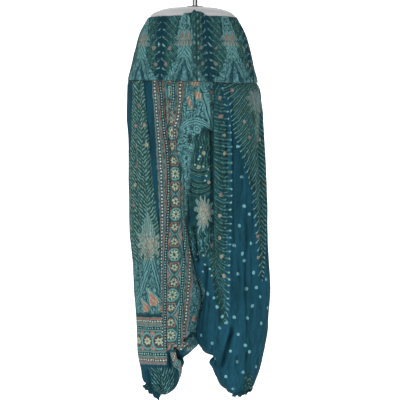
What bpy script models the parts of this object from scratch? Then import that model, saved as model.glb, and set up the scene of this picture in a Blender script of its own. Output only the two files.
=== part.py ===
"""Harem pants hung on a limbless hip form, which a short steel rod holds up.

Metres, +Z up, the front of the pants faces -Y. The origin is the centre of the rod's top face.
Right and left are the wearer's, so the right leg lies at -X.
"""

import math

import bpy

# Cloth and seams
CLOTH = 0.0015
SEAM_GAP = 0.0003
FORM_CLEARANCE = 0.0010
ROUNDNESS = 2.25

# Rod and flange
ROD_RADIUS = 0.0066
ROD_LENGTH = 0.0387
FLANGE_RADIUS = 0.0205
ROUND_SIDES = 24

# Hip form: its axis lies a little to the right of the rod
FORM_SHIFT = -0.006
FORM_SIDES = 56

# The low dome above the waist: z, and the ring's size as a share of the waist's
DOME_LEVELS = (
    (-0.0419, 0.36),
    (-0.0437, 0.54),
    (-0.0472, 0.69),
    (-0.0520, 0.82),
    (-0.0585, 0.93),
    (-0.0640, 0.98),
)

# Each row is one level of the form: z, half of the width, and how far the front and back stand from the axis
FORM_LEVELS = (
    # z, half_width, front, back
    (-0.0700, 0.1095, 0.0820, 0.0800),
    (-0.1064, 0.1297, 0.0915, 0.0935),
    (-0.1580, 0.1452, 0.0995, 0.1095),
    (-0.1960, 0.1540, 0.1035, 0.1185),
    (-0.2350, 0.1625, 0.1065, 0.1220),
    (-0.2850, 0.1635, 0.1060, 0.1200),
    (-0.3350, 0.1590, 0.0990, 0.1100),
    (-0.3720, 0.1510, 0.0890, 0.0980),
    (-0.3860, 0.1430, 0.0820, 0.0900),
    (-0.3900, 0.1330, 0.0740, 0.0820),
)

# Yoke: the deep waistband, with a pleated bunch that stands up at the centre-front seam
YOKE_LEVELS = (-0.0706, -0.0880, -0.1064, -0.1320, -0.1580, -0.1770, -0.1960, -0.2150, -0.2350)
YOKE_COLUMNS = 14
YOKE_SEAM_X = 0.004
BUNCH_RISE = 0.0135
BUNCH_HALF_WIDTH = 0.024
BUNCH_PLEAT = 0.0030
BUNCH_PLEAT_SPACING = 0.024

# Legs: each row is one level of the pants from the yoke seam to the crotch. split says how far the
# section has parted into two leg tubes: 0 is one rounded ring, 1 is two rounded tubes that meet.
# The centre-front seam wanders with front_seam_x, and the centre-back seam is straight.
CROTCH_X = 0.0082
TOP_FRONT_SEAM_X = -0.0205
BODY_LEVELS = (
    # z, right_edge, left_edge, front, back, split, front_seam_x
    (-0.2450, -0.1715, 0.1640, 0.1130, 0.1285, 0.00, -0.0230),
    (-0.2850, -0.1725, 0.1705, 0.1150, 0.1290, 0.04, -0.0282),
    (-0.3400, -0.1715, 0.1755, 0.1130, 0.1250, 0.08, -0.0346),
    (-0.3900, -0.1700, 0.1785, 0.1080, 0.1180, 0.13, -0.0371),
    (-0.4400, -0.1700, 0.1815, 0.1020, 0.1100, 0.18, -0.0312),
    (-0.4900, -0.1695, 0.1835, 0.0960, 0.1030, 0.24, -0.0230),
    (-0.5400, -0.1685, 0.1845, 0.0910, 0.0970, 0.30, -0.0161),
    (-0.5930, -0.1672, 0.1850, 0.0870, 0.0920, 0.36, -0.0123),
    (-0.6450, -0.1635, 0.1865, 0.0830, 0.0870, 0.43, -0.0095),
    (-0.6950, -0.1595, 0.1887, 0.0800, 0.0830, 0.51, -0.0051),
    (-0.7350, -0.1575, 0.1920, 0.0775, 0.0800, 0.59, -0.0031),
    (-0.7720, -0.1560, 0.1930, 0.0750, 0.0775, 0.67, -0.0026),
    (-0.8100, -0.1525, 0.1905, 0.0730, 0.0750, 0.76, -0.0018),
    (-0.8490, -0.1500, 0.1861, 0.0700, 0.0720, 0.86, 0.0008),
    (-0.8830, -0.1480, 0.1820, 0.0670, 0.0690, 0.94, 0.0051),
    (-0.9130, -0.1467, 0.1775, 0.0640, 0.0660, 1.00, 0.0082),
)

# Lower legs: each row is one ring of the tube from the crotch to the cuff. tilt turns the ring so
# that the cuff faces down and outwards; gather says how far the cloth is drawn into pleats.
LOWER_LEGS = {
    "right": (
        # x, z, half_width, half_depth, tilt_degrees, gather
        (-0.0829, -0.9333, 0.0625, 0.0570, 2, 0.0),
        (-0.0865, -0.9551, 0.0550, 0.0520, 4, 0.0),
        (-0.0872, -0.9807, 0.0494, 0.0480, 10, 0.1),
        (-0.0908, -1.0012, 0.0443, 0.0430, 15, 0.3),
        (-0.0944, -1.0122, 0.0378, 0.0370, 20, 0.6),
        (-0.1010, -1.0178, 0.0292, 0.0300, 30, 0.9),
        (-0.1062, -1.0211, 0.0232, 0.0235, 38, 1.0),
    ),
    "left": (
        (0.1029, -0.9333, 0.0704, 0.0580, 2, 0.0),
        (0.1060, -0.9551, 0.0622, 0.0540, 1, 0.0),
        (0.1050, -0.9781, 0.0584, 0.0510, 4, 0.1),
        (0.1080, -0.9986, 0.0476, 0.0450, 5, 0.3),
        (0.1101, -1.0158, 0.0394, 0.0380, 9, 0.6),
        (0.1165, -1.0229, 0.0287, 0.0300, 14, 0.9),
        (0.1190, -1.0262, 0.0233, 0.0235, 17, 1.0),
    ),
}
PANEL_COLUMNS = 16
GATHER_WAVES = 8
GATHER_DEPTH = 0.0012

# Hems: an elastic casing at each cuff with a short ruffle below it
HEM_ENDS = {
    # x, z, half_width, half_depth, tilt_degrees
    "right": (-0.1133, -1.0306, 0.0268, 0.0270, 41),
    "left": (0.1216, -1.0350, 0.0269, 0.0270, 19),
}
HEM_ROWS = 3
HEM_CLOTH = 0.0020
RUFFLE_DEPTH = 0.0026

# The largest folds. Each is a trough that runs down a panel: where it starts and ends as a share of
# the way from side seam to centre seam, its top and bottom level, its depth and its half-width share.
FOLDS = {
    ("right", "front"): (
        # at_top, at_bottom, top_z, bottom_z, depth, half_width
        (0.84, 0.90, -0.260, -0.560, 0.0060, 0.060),
        (0.36, 0.42, -0.640, -0.960, 0.0050, 0.080),
    ),
    ("left", "front"): (
        (0.76, 0.84, -0.240, -0.760, 0.0110, 0.090),
        (0.42, 0.46, -0.420, -0.980, 0.0060, 0.070),
        (0.62, 0.66, -0.700, -0.990, 0.0120, 0.060),
    ),
    ("right", "back"): (
        (0.74, 0.78, -0.300, -0.900, 0.0130, 0.080),
        (0.46, 0.44, -0.360, -0.960, 0.0070, 0.070),
    ),
    ("left", "back"): (
        (0.76, 0.78, -0.280, -0.880, 0.0130, 0.080),
        (0.44, 0.48, -0.380, -0.970, 0.0070, 0.070),
    ),
}

SIDE_OF = {"right": -1, "left": 1}
FACING = {"front": -1, "back": 1}


def new_material(name, colour, roughness, metallic=0.0):
    """A Principled material in one colour."""
    material = bpy.data.materials.new(name)
    material.use_nodes = True
    shader = material.node_tree.nodes["Principled BSDF"]
    shader.inputs["Base Color"].default_value = (*colour, 1.0)
    shader.inputs["Roughness"].default_value = roughness
    shader.inputs["Metallic"].default_value = metallic
    return material


def add_object(name, mesh, material, collection):
    """A named object for the mesh, in its collection."""
    mesh.materials.append(material)
    part = bpy.data.objects.new(name, mesh)
    collection.objects.link(part)
    return part


def loft(name, rings, closed, material, collection, capped=False):
    """A surface through rings that hold the same number of points each."""
    count = len(rings[0])
    points = [point for ring in rings for point in ring]
    faces = []
    for row in range(len(rings) - 1):
        for column in range(count if closed else count - 1):
            after = (column + 1) % count
            low, high = row * count, (row + 1) * count
            faces.append((low + column, high + column, high + after, low + after))
    if capped:
        last = (len(rings) - 1) * count
        faces.append(tuple(range(count)))
        faces.append(tuple(last + column for column in reversed(range(count))))
    mesh = bpy.data.meshes.new(name)
    mesh.from_pydata(points, [], faces)
    mesh.validate()
    part = add_object(name, mesh, material, collection)
    mesh.shade_smooth()
    return part


def thicken(part, thickness):
    """Gives an open surface its wall, inwards from its outer face."""
    wall = part.modifiers.new("wall", "SOLIDIFY")
    wall.thickness = thickness
    wall.offset = -1
    wall.use_quality_normals = True


def blend(low, high, share):
    return low + (high - low) * share


def smooth(share):
    """Eases a share from 0 to 1."""
    share = min(1.0, max(0.0, share))
    return share * share * (3 - 2 * share)


def level_at(levels, z):
    """The row of a table at height z, read between its rows. The rows run downwards."""
    for upper, lower in zip(levels, levels[1:]):
        if upper[0] >= z >= lower[0]:
            share = (upper[0] - z) / (upper[0] - lower[0])
            return tuple(blend(a, b, share) for a, b in zip(upper, lower))
    return levels[0] if z > levels[0][0] else levels[-1]


def ring_point(angle, half_width, front, back):
    """A point of a rounded section: angle 0 is the left side, 90 degrees the back, 270 the front."""
    power = 2 / ROUNDNESS
    across, along = math.cos(angle), math.sin(angle)
    x = half_width * math.copysign(abs(across) ** power, across)
    y = (back if along > 0 else front) * math.copysign(abs(along) ** power, along)
    return x, y


def form_ring(z, grow, angles):
    """Points round the form at height z, stood off from it by grow."""
    _, half_width, front, back = level_at(FORM_LEVELS, z)
    ring = []
    for angle in angles:
        x, y = ring_point(angle, half_width + grow, front + grow, back + grow)
        ring.append((FORM_SHIFT + x, y, z))
    return ring


def build_form(material, collection):
    """The smooth hip form: a low dome, the hips, and a rounded foot with a flat face."""
    angles = [2 * math.pi * i / FORM_SIDES for i in range(FORM_SIDES)]
    _, half_width, front, back = FORM_LEVELS[0]
    rings = []
    for z, share in DOME_LEVELS:
        rim = [ring_point(a, half_width * share, front * share, back * share) for a in angles]
        rings.append([(FORM_SHIFT * share + x, y, z) for x, y in rim])
    rings += [form_ring(level[0], 0.0, angles) for level in FORM_LEVELS]
    loft("hip_form", rings, True, material, collection, capped=True)


def build_hanger(material, collection):
    """The round flange on the dome and the rod that stands on it."""
    flange_bottom = DOME_LEVELS[0][0] + SEAM_GAP
    flange_top = -ROD_LENGTH - SEAM_GAP
    bpy.ops.mesh.primitive_cylinder_add(
        vertices=ROUND_SIDES,
        radius=FLANGE_RADIUS,
        depth=flange_top - flange_bottom,
        location=(0, 0, (flange_top + flange_bottom) / 2),
    )
    flange = bpy.context.object
    bpy.ops.mesh.primitive_cylinder_add(
        vertices=ROUND_SIDES, radius=ROD_RADIUS, depth=ROD_LENGTH, location=(0, 0, -ROD_LENGTH / 2)
    )
    rod = bpy.context.object
    for part, name in ((flange, "form_flange"), (rod, "hanging_rod")):
        part.name = name
        part.data.name = name
        part.data.materials.append(material)
        part.data.shade_smooth()
        part.data.set_sharp_from_angle(angle=math.radians(40))
        for other in part.users_collection:
            other.objects.unlink(part)
        collection.objects.link(part)


def bunch(x, z):
    """How far the pleated bunch lifts the yoke's top edge, and how far it stands proud."""
    reach = smooth(1 - abs(x - YOKE_SEAM_X) / BUNCH_HALF_WIDTH)
    down = (YOKE_LEVELS[0] - z) / (YOKE_LEVELS[0] - YOKE_LEVELS[-1])
    lift = BUNCH_RISE * reach * smooth(1 - 3 * down)
    turn = 2 * math.pi * (x - YOKE_SEAM_X) / BUNCH_PLEAT_SPACING
    proud = BUNCH_PLEAT * reach * (1 - math.cos(turn))
    return lift, proud


def yoke_rows(first_angle, last_angle, columns):
    """Rows of points over the form between two angles, with the bunch at the front."""
    rows = []
    for z in YOKE_LEVELS:
        angles = [blend(first_angle, last_angle, i / columns) for i in range(columns + 1)]
        line = []
        for x, y, _ in form_ring(z, FORM_CLEARANCE + CLOTH, angles):
            lift, proud = bunch(x, z) if y < 0 else (0.0, 0.0)
            line.append((x, y - proud, z + lift))
        rows.append(line)
    return rows


def angle_at(x, z):
    """The angle at which the front of the yoke's ring passes x."""
    low, high = math.pi, 2 * math.pi
    for _ in range(40):
        middle = (low + high) / 2
        if form_ring(z, FORM_CLEARANCE + CLOTH, [middle])[0][0] < x:
            low = middle
        else:
            high = middle
    return low


def shifted(rows, first_gap, last_gap):
    """Draws the first and last point of each row back from a seam by these distances."""
    moved = []
    for row in rows:
        line = list(row)
        for end, beside, gap in ((0, 1, first_gap), (-1, -2, last_gap)):
            ax, ay, az = line[end]
            bx, by, bz = line[beside]
            length = math.dist(line[end], line[beside])
            share = gap / length
            line[end] = (blend(ax, bx, share), blend(ay, by, share), blend(az, bz, share))
        moved.append(line)
    return moved


def build_yoke(material, collection):
    """The three pieces of the waistband, with seams at the sides and at the centre front."""
    half_gap = SEAM_GAP / 2
    middle = angle_at(YOKE_SEAM_X, YOKE_LEVELS[len(YOKE_LEVELS) // 2])
    pieces = (
        ("yoke_front_right", math.pi, middle, YOKE_COLUMNS),
        ("yoke_front_left", middle, 2 * math.pi, YOKE_COLUMNS),
        ("yoke_back", 0.0, math.pi, 2 * YOKE_COLUMNS),
    )
    for name, first, last, columns in pieces:
        rows = shifted(yoke_rows(first, last, columns), half_gap, half_gap)
        thicken(loft(name, rows, False, material, collection), CLOTH)


def fold_depth(folds, share, z):
    """How deep the panel's folds are at this share of its width and this height."""
    total = 0.0
    for at_top, at_bottom, top_z, bottom_z, depth, half_width in folds:
        if not bottom_z < z < top_z:
            continue
        down = (top_z - z) / (top_z - bottom_z)
        distance = (share - blend(at_top, at_bottom, down)) / half_width
        total += depth * math.sin(math.pi * down) ** 0.7 * math.exp(-distance * distance)
    return total


def body_row(leg, face, level, folds):
    """One row of a leg panel above the crotch, from side seam to centre seam."""
    z, right_edge, left_edge, front, back, split, front_seam_x = level
    side = right_edge if leg == "right" else left_edge
    depth = front if face == "front" else back
    half_width = (left_edge - right_edge) / 2
    middle = (left_edge + right_edge) / 2
    seam = front_seam_x if face == "front" else CROTCH_X
    row = []
    for column in range(PANEL_COLUMNS + 1):
        share = column / PANEL_COLUMNS
        x = blend(side, seam, (1 - math.cos(math.pi * share)) / 2)
        reach = min(1.0, abs(x - middle) / half_width)
        whole = (1 - reach**ROUNDNESS) ** (1 / ROUNDNESS)
        tube = math.sin(math.pi * share)
        out = depth * blend(whole, tube, split)
        out -= fold_depth(folds, share, z) * min(1.0, out / depth)
        row.append((x, FACING[face] * max(out, SEAM_GAP / 2), z))
    return row


def top_row(leg, face):
    """The row under the yoke seam: it follows the yoke's lower edge."""
    z = YOKE_LEVELS[-1] - SEAM_GAP
    _, half_width, front, back = level_at(FORM_LEVELS, YOKE_LEVELS[-1])
    grow = FORM_CLEARANCE + CLOTH
    half_width, depth = half_width + grow, (front if face == "front" else back) + grow
    side = FORM_SHIFT + SIDE_OF[leg] * half_width
    seam = TOP_FRONT_SEAM_X if face == "front" else CROTCH_X
    row = []
    for column in range(PANEL_COLUMNS + 1):
        share = column / PANEL_COLUMNS
        x = blend(side, seam, (1 - math.cos(math.pi * share)) / 2)
        reach = min(1.0, abs(x - FORM_SHIFT) / half_width)
        out = depth * (1 - reach**ROUNDNESS) ** (1 / ROUNDNESS)
        row.append((x, FACING[face] * max(out, SEAM_GAP / 2), z))
    return row


def tube_point(leg, ring, turn, waves, wave_depth):
    """A point of a tilted ring: turn 0 is the outer side, half of pi the front, pi the inner side."""
    x, z, half_width, half_depth, tilt = ring
    grow = 1 + wave_depth * math.cos(waves * turn) / half_width
    across = -math.cos(turn) * half_width * grow
    tilt = math.radians(tilt)
    outwards = SIDE_OF[leg]
    return (
        x - outwards * across * math.cos(tilt),
        -math.sin(turn) * half_depth * grow,
        z - across * math.sin(tilt),
    )


def lower_row(leg, face, level, folds):
    """One row of a leg panel below the crotch, from the outer to the inner side of the tube."""
    ring, gather = level[:5], level[5]
    row = []
    for column in range(PANEL_COLUMNS + 1):
        share = column / PANEL_COLUMNS
        turn = math.pi * share * -FACING[face]
        x, y, z = tube_point(leg, ring, turn, GATHER_WAVES, GATHER_DEPTH * gather)
        fold = fold_depth(folds, share, ring[1]) * math.sin(math.pi * share) * (1 - gather)
        y -= FACING[face] * fold
        row.append((x, FACING[face] * max(abs(y), SEAM_GAP / 2), z))
    return row


def build_leg_panel(leg, face, material, collection):
    """One leg panel, from the yoke seam to the cuff."""
    folds = FOLDS[(leg, face)]
    rows = [top_row(leg, face)]
    rows += [body_row(leg, face, level, folds) for level in BODY_LEVELS]
    rows += [lower_row(leg, face, level, folds) for level in LOWER_LEGS[leg]]
    rows = [seam_clear(leg, row, level) for level, row in enumerate(rows)]
    rows = [square_ends(row, level) for level, row in enumerate(rows)]
    if (leg == "right") == (face == "back"):
        rows = [row[::-1] for row in rows]
    thicken(loft(f"leg_{leg}_{face}", rows, False, material, collection), CLOTH)


def seam_clear(leg, row, level):
    """Keeps a panel's centre edge half a gap from the other leg's, above the crotch."""
    if level > len(BODY_LEVELS):
        return row
    x, y, z = row[-1]
    return row[:-1] + [(x + SIDE_OF[leg] * SEAM_GAP / 2, y, z)]


def square_ends(row, level):
    """Runs the cloth straight across the side seam, and across the inner leg seam below the crotch."""
    row = list(row)
    row[1] = (row[0][0], row[1][1], row[0][2])
    if level >= len(BODY_LEVELS):
        row[-2] = (row[-1][0], row[-2][1], row[-1][2])
    return row


def build_hem(leg, material, collection):
    """The gathered elastic casing at a cuff and the ruffle below it, as one ring of cloth."""
    start, end = LOWER_LEGS[leg][-1][:5], HEM_ENDS[leg]
    drop = math.hypot(end[0] - start[0], end[1] - start[1])
    sides = 2 * PANEL_COLUMNS
    rings = []
    for row in range(HEM_ROWS + 1):
        share = blend(SEAM_GAP / drop, 1.0, row / HEM_ROWS)
        ring = tuple(blend(a, b, share) for a, b in zip(start, end))
        ruffle = blend(GATHER_DEPTH, RUFFLE_DEPTH, smooth(share))
        turns = [2 * math.pi * i / sides * SIDE_OF[leg] for i in range(sides)]
        rings.append([tube_point(leg, ring, turn, GATHER_WAVES, ruffle) for turn in turns])
    thicken(loft(f"hem_{leg}", [r[::-1] for r in rings], True, material, collection), HEM_CLOTH)


def main():
    for part in list(bpy.data.objects):
        bpy.data.objects.remove(part)
    collection = bpy.data.collections.new("harem_pants")
    bpy.context.scene.collection.children.link(collection)
    fibreglass = new_material("form_white", (0.74, 0.73, 0.74), 0.55)
    steel = new_material("polished_steel", (0.60, 0.60, 0.61), 0.25, 1.0)
    yoke_cloth = new_material("yoke_print", (0.055, 0.165, 0.165), 0.80)
    leg_cloth = new_material("leg_print", (0.030, 0.120, 0.150), 0.80)
    build_form(fibreglass, collection)
    build_hanger(steel, collection)
    build_yoke(yoke_cloth, collection)
    for leg in ("right", "left"):
        for face in ("front", "back"):
            build_leg_panel(leg, face, leg_cloth, collection)
        build_hem(leg, leg_cloth, collection)


main()
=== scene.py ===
import functools
import math

import bmesh
import bpy
import numpy as np
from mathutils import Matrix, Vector


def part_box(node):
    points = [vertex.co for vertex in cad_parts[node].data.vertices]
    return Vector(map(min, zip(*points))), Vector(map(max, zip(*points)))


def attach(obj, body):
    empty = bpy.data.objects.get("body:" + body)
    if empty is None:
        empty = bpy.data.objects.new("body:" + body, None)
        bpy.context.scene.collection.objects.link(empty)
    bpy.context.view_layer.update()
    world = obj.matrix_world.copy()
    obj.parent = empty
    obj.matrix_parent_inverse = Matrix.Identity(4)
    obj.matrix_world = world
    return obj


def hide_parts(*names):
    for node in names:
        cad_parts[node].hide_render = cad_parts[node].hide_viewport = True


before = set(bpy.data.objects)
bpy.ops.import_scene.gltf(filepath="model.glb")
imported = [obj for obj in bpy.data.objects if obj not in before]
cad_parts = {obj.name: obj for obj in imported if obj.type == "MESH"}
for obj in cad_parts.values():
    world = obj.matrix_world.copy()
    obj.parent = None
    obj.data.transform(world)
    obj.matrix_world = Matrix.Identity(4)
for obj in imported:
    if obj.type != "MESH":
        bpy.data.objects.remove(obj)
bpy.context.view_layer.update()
print("frame loaded:", len(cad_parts), "nodes")


# shapes that every piece of cloth uses
cloth = {
    "wall": 0.0011,          # thickness of the rayon shell
    "seamGap": 0.0003,
    "roundness": 2.25,       # how square the body sections are
    "formClearance": 0.0022,
    "crotchX": 0.0082,
    "formShift": -0.006,
    "crotchRise": 0.0085,   # how far the gusset seam is drawn up between the legs
}


def mix(a, b, t):
    return a + (b - a) * t


def ease(t):
    t = np.clip(t, 0.0, 1.0)
    return t * t * (3 - 2 * t)


def through(keys, places, wanted):
    # a smooth curve through the keys, which lie at rising places; a key may be an array
    keys, places = np.asarray(keys, float), np.asarray(places, float)
    wanted = np.clip(np.asarray(wanted, float), places[0], places[-1])
    steps = np.diff(places)
    shape = (-1,) + (1,) * (keys.ndim - 1)
    slopes = np.diff(keys, axis=0) / steps.reshape(shape)
    tangents = np.empty_like(keys)
    tangents[0], tangents[-1] = slopes[0], slopes[-1]
    w = (steps[1:] / (steps[:-1] + steps[1:])).reshape(shape)
    tangents[1:-1] = slopes[:-1] * w + slopes[1:] * (1 - w)
    i = np.clip(np.searchsorted(places, wanted, side="right") - 1, 0, len(steps) - 1)
    h = steps[i].reshape(shape)
    t = ((wanted - places[i]) / steps[i]).reshape(shape)
    t2, t3 = t * t, t * t * t
    return (
        keys[i] * (2 * t3 - 3 * t2 + 1)
        + keys[i + 1] * (3 * t2 - 2 * t3)
        + tangents[i] * h * (t3 - 2 * t2 + t)
        + tangents[i + 1] * h * (t3 - t2)
    )


def along(path, z):
    # x of a path of (x, z) points, read at heights z
    pts = sorted(path, key=lambda p: p[1])
    shown = through([p[0] for p in pts], [p[1] for p in pts], np.ravel(z))
    return shown.reshape(np.shape(z))


def softNoise(u, v, cellU, cellV, seed):
    # smooth value noise from -1 to 1 with its own cell size each way
    lattice = np.random.default_rng(seed).uniform(-1, 1, (128, 128))
    a, b = u / cellU + 1000.0, v / cellV + 1000.0
    i, j = np.floor(a).astype(int), np.floor(b).astype(int)
    fa, fb = ease(a - i), ease(b - j)
    row0 = mix(lattice[i % 128, j % 128], lattice[(i + 1) % 128, j % 128], fa)
    row1 = mix(lattice[i % 128, (j + 1) % 128], lattice[(i + 1) % 128, (j + 1) % 128], fa)
    return mix(row0, row1, fb)


def gridNormals(points):
    n = np.cross(np.gradient(points, axis=1), np.gradient(points, axis=0))
    return n / np.maximum(np.linalg.norm(n, axis=2, keepdims=True), 1e-12)


def arcAcross(points):
    step = np.linalg.norm(np.diff(points, axis=1), axis=2)
    return np.concatenate([np.zeros((len(points), 1)), np.cumsum(step, axis=1)], axis=1)


def sunken(depth, cells):
    # how far each point of a grid lies below its surroundings
    kernel = np.hanning(2 * cells + 3)[1:-1]
    kernel /= kernel.sum()
    smooth = np.pad(depth, cells, mode="edge")
    for axis in (0, 1):
        smooth = np.apply_along_axis(lambda line: np.convolve(line, kernel, "valid"), axis, smooth)
    return depth - smooth


clothGrids = {}  # the outer points of each piece of cloth, for the stitches


def clothShell(name, points, uv, inside, crease, ring=False):
    # a grid of points made a mesh, with a UV map in metres of cloth and a wall grown inwards;
    # inside is a grid of points within the garment, which says which way is out
    clothGrids[name] = (points, inside)
    rows, cols = points.shape[:2]
    ids = np.arange(rows * cols).reshape(rows, cols)
    left, right = ids[:, :-1], ids[:, 1:]
    quads = np.stack([left[:-1], left[1:], right[1:], right[:-1]], axis=-1).reshape(-1, 4)
    co, mid = points.reshape(-1, 3), np.broadcast_to(inside, points.shape).reshape(-1, 3)
    a, b, c = (co[quads[:, k]] for k in range(3))
    if (np.cross(b - a, c - b) * (a - mid[quads[:, 0]])).sum() < 0:
        quads = quads[:, ::-1]
    mesh = bpy.data.meshes.new(name)
    mesh.from_pydata(co.tolist(), [], quads.tolist())
    layer = mesh.uv_layers.new(name="cloth")
    loops = np.empty(len(mesh.loops), np.int32)
    mesh.loops.foreach_get("vertex_index", loops)
    layer.data.foreach_set("uv", uv.reshape(-1, 2)[loops].astype(np.float32).ravel())
    # from -1 on a ridge to 1 at the bottom of a fold: the prints turn it into painted light on the ridges
    # and painted shade in the folds
    shade = mesh.attributes.new("crease", "FLOAT", "POINT")
    shade.data.foreach_set("value", np.clip(crease, -1, 1).astype(np.float32).ravel())
    if ring:  # the first and last columns are one line
        bm = bmesh.new()
        bm.from_mesh(mesh)
        bmesh.ops.remove_doubles(bm, verts=bm.verts, dist=1e-6)
        bm.to_mesh(mesh)
        bm.free()
    mesh.shade_smooth()
    piece = bpy.data.objects.new(name, mesh)
    bpy.context.scene.collection.objects.link(piece)
    shell = piece.modifiers.new("wall", "SOLIDIFY")
    shell.thickness = cloth["wall"]
    shell.offset = -1
    shell.use_quality_normals = True
    return piece


# the hip form's sections, which the yoke follows
formSections = {
    # z, halfWidth, front, back
    "levels": [
        (-0.0700, 0.1095, 0.0820, 0.0800),
        (-0.1064, 0.1297, 0.0915, 0.0935),
        (-0.1580, 0.1452, 0.0995, 0.1095),
        (-0.1960, 0.1540, 0.1035, 0.1185),
        (-0.2350, 0.1625, 0.1065, 0.1220),
        (-0.2850, 0.1635, 0.1060, 0.1200),
        (-0.3350, 0.1590, 0.0990, 0.1100),
        (-0.3720, 0.1510, 0.0890, 0.0980),
        (-0.3860, 0.1430, 0.0820, 0.0900),
        (-0.3900, 0.1330, 0.0740, 0.0820),
    ],
    # z, share of the waist's size
    "dome": [
        (-0.0433, 0.36),
        (-0.0450, 0.54),
        (-0.0484, 0.69),
        (-0.0531, 0.82),
        (-0.0592, 0.93),
        (-0.0642, 0.98),
    ],
    "sides": 128,
    "domeRows": 28,
    "bodyRows": 90,
}


def formRing(z, grow, angle):
    # points round the form at heights z; angle 0 is the left side, a quarter turn the back
    levels = formSections["levels"][::-1]
    table = through([l[1:] for l in levels], [l[0] for l in levels], np.ravel(z))
    half, front, back = (table[:, k].reshape(np.shape(z)) + grow for k in range(3))
    power = 2 / cloth["roundness"]
    across, deep = np.cos(angle), np.sin(angle)
    x = half * np.sign(across) * np.abs(across) ** power
    y = np.where(deep > 0, back, front) * np.sign(deep) * np.abs(deep) ** power
    return np.stack([cloth["formShift"] + x, y, z + 0 * x], axis=-1)


# A layout grid of 2.56 mm squares over the front: column 195 runs up the rod's axis
gridStep = 0.00256
gridMiddle, gridTop = 195, 9.6


def gridX(column):
    return (np.asarray(column, float) - gridMiddle) * gridStep


def gridZ(row):
    return -(np.asarray(row, float) + gridTop) * gridStep


legShape = {
    "columns": {"front": 170, "back": 110},
    "bodyRows": 205,
    "cuffRows": 44,
    "cuffDown": 0.955,  # how far below the top of the frame the cuffs start
    # z, rightEdge, leftEdge, front, back, split
    "levels": [
        (-0.2353, -0.1707, 0.1587, 0.1087, 0.1242, 0.00),
        (-0.2450, -0.1715, 0.1622, 0.1130, 0.1285, 0.00),
        (-0.2850, -0.1725, 0.1705, 0.1150, 0.1290, 0.04),
        (-0.3400, -0.1715, 0.1755, 0.1130, 0.1250, 0.08),
        (-0.3900, -0.1700, 0.1785, 0.1080, 0.1180, 0.13),
        (-0.4400, -0.1700, 0.1815, 0.1020, 0.1100, 0.18),
        (-0.4900, -0.1695, 0.1835, 0.0960, 0.1030, 0.24),
        (-0.5400, -0.1685, 0.1845, 0.0910, 0.0970, 0.30),
        (-0.5930, -0.1672, 0.1850, 0.0870, 0.0920, 0.36),
        (-0.6450, -0.1635, 0.1865, 0.0830, 0.0870, 0.43),
        (-0.6950, -0.1595, 0.1887, 0.0800, 0.0830, 0.51),
        (-0.7350, -0.1575, 0.1920, 0.0775, 0.0800, 0.59),
        (-0.7720, -0.1560, 0.1930, 0.0750, 0.0775, 0.67),
        (-0.8100, -0.1525, 0.1905, 0.0730, 0.0750, 0.76),
        (-0.8490, -0.1500, 0.1861, 0.0700, 0.0720, 0.86),
        (-0.8830, -0.1480, 0.1820, 0.0670, 0.0690, 0.94),
        (-0.9130, -0.1467, 0.1775, 0.0640, 0.0660, 1.00),
    ],
    # x, z, halfWidth, halfDepth, tilt in degrees
    "cuffRings": {
        "right": [
            (-0.0829, -0.9333, 0.0625, 0.0570, 2),
            (-0.0865, -0.9551, 0.0550, 0.0520, 4),
            (-0.0872, -0.9807, 0.0494, 0.0480, 10),
            (-0.0908, -1.0012, 0.0443, 0.0430, 15),
            (-0.0944, -1.0122, 0.0378, 0.0370, 20),
            (-0.1010, -1.0178, 0.0292, 0.0300, 30),
            (-0.1062, -1.0211, 0.0232, 0.0235, 38),
        ],
        "left": [
            (0.1029, -0.9333, 0.0704, 0.0580, 2),
            (0.1060, -0.9551, 0.0622, 0.0540, 1),
            (0.1050, -0.9781, 0.0584, 0.0510, 4),
            (0.1080, -0.9986, 0.0476, 0.0450, 5),
            (0.1101, -1.0158, 0.0394, 0.0380, 9),
            (0.1165, -1.0229, 0.0287, 0.0300, 14),
            (0.1190, -1.0262, 0.0233, 0.0235, 17),
        ],
    },
    # the centre-front seam, as column and row of the layout grid
    "frontSeam": [
        (187, 80), (184.2, 100), (181.3, 119), (178.3, 137), (176.8, 150), (179.8, 163), (183.4, 176),
        (184.6, 190), (184.3, 205), (186, 220), (188.6, 235), (190.5, 250), (193.5, 264), (196, 277),
        (200.6, 289), (201.0, 300), (199.2, 312), (196.6, 325), (195.4, 335), (198.2, 347),
    ],
    # where the yoke seam lies across the front, as column and row
    "yokeSeam": [(126, 80.4), (150, 81.9), (188, 82.6), (215, 83.6), (235, 84.6), (258, 83.2)],
    "yokeSeamBack": -0.2353,
}
sideOf = {"right": -1, "left": 1}
facing = {"front": -1, "back": 1}


def yokeSeamZ(x, y):
    # the seam under the yoke: uneven in front, level behind
    columns, rows = zip(*legShape["yokeSeam"])
    front = gridZ(np.interp(x, gridX(columns), rows))
    return mix(front, legShape["yokeSeamBack"], ease(np.asarray(y) / 0.07))


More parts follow.
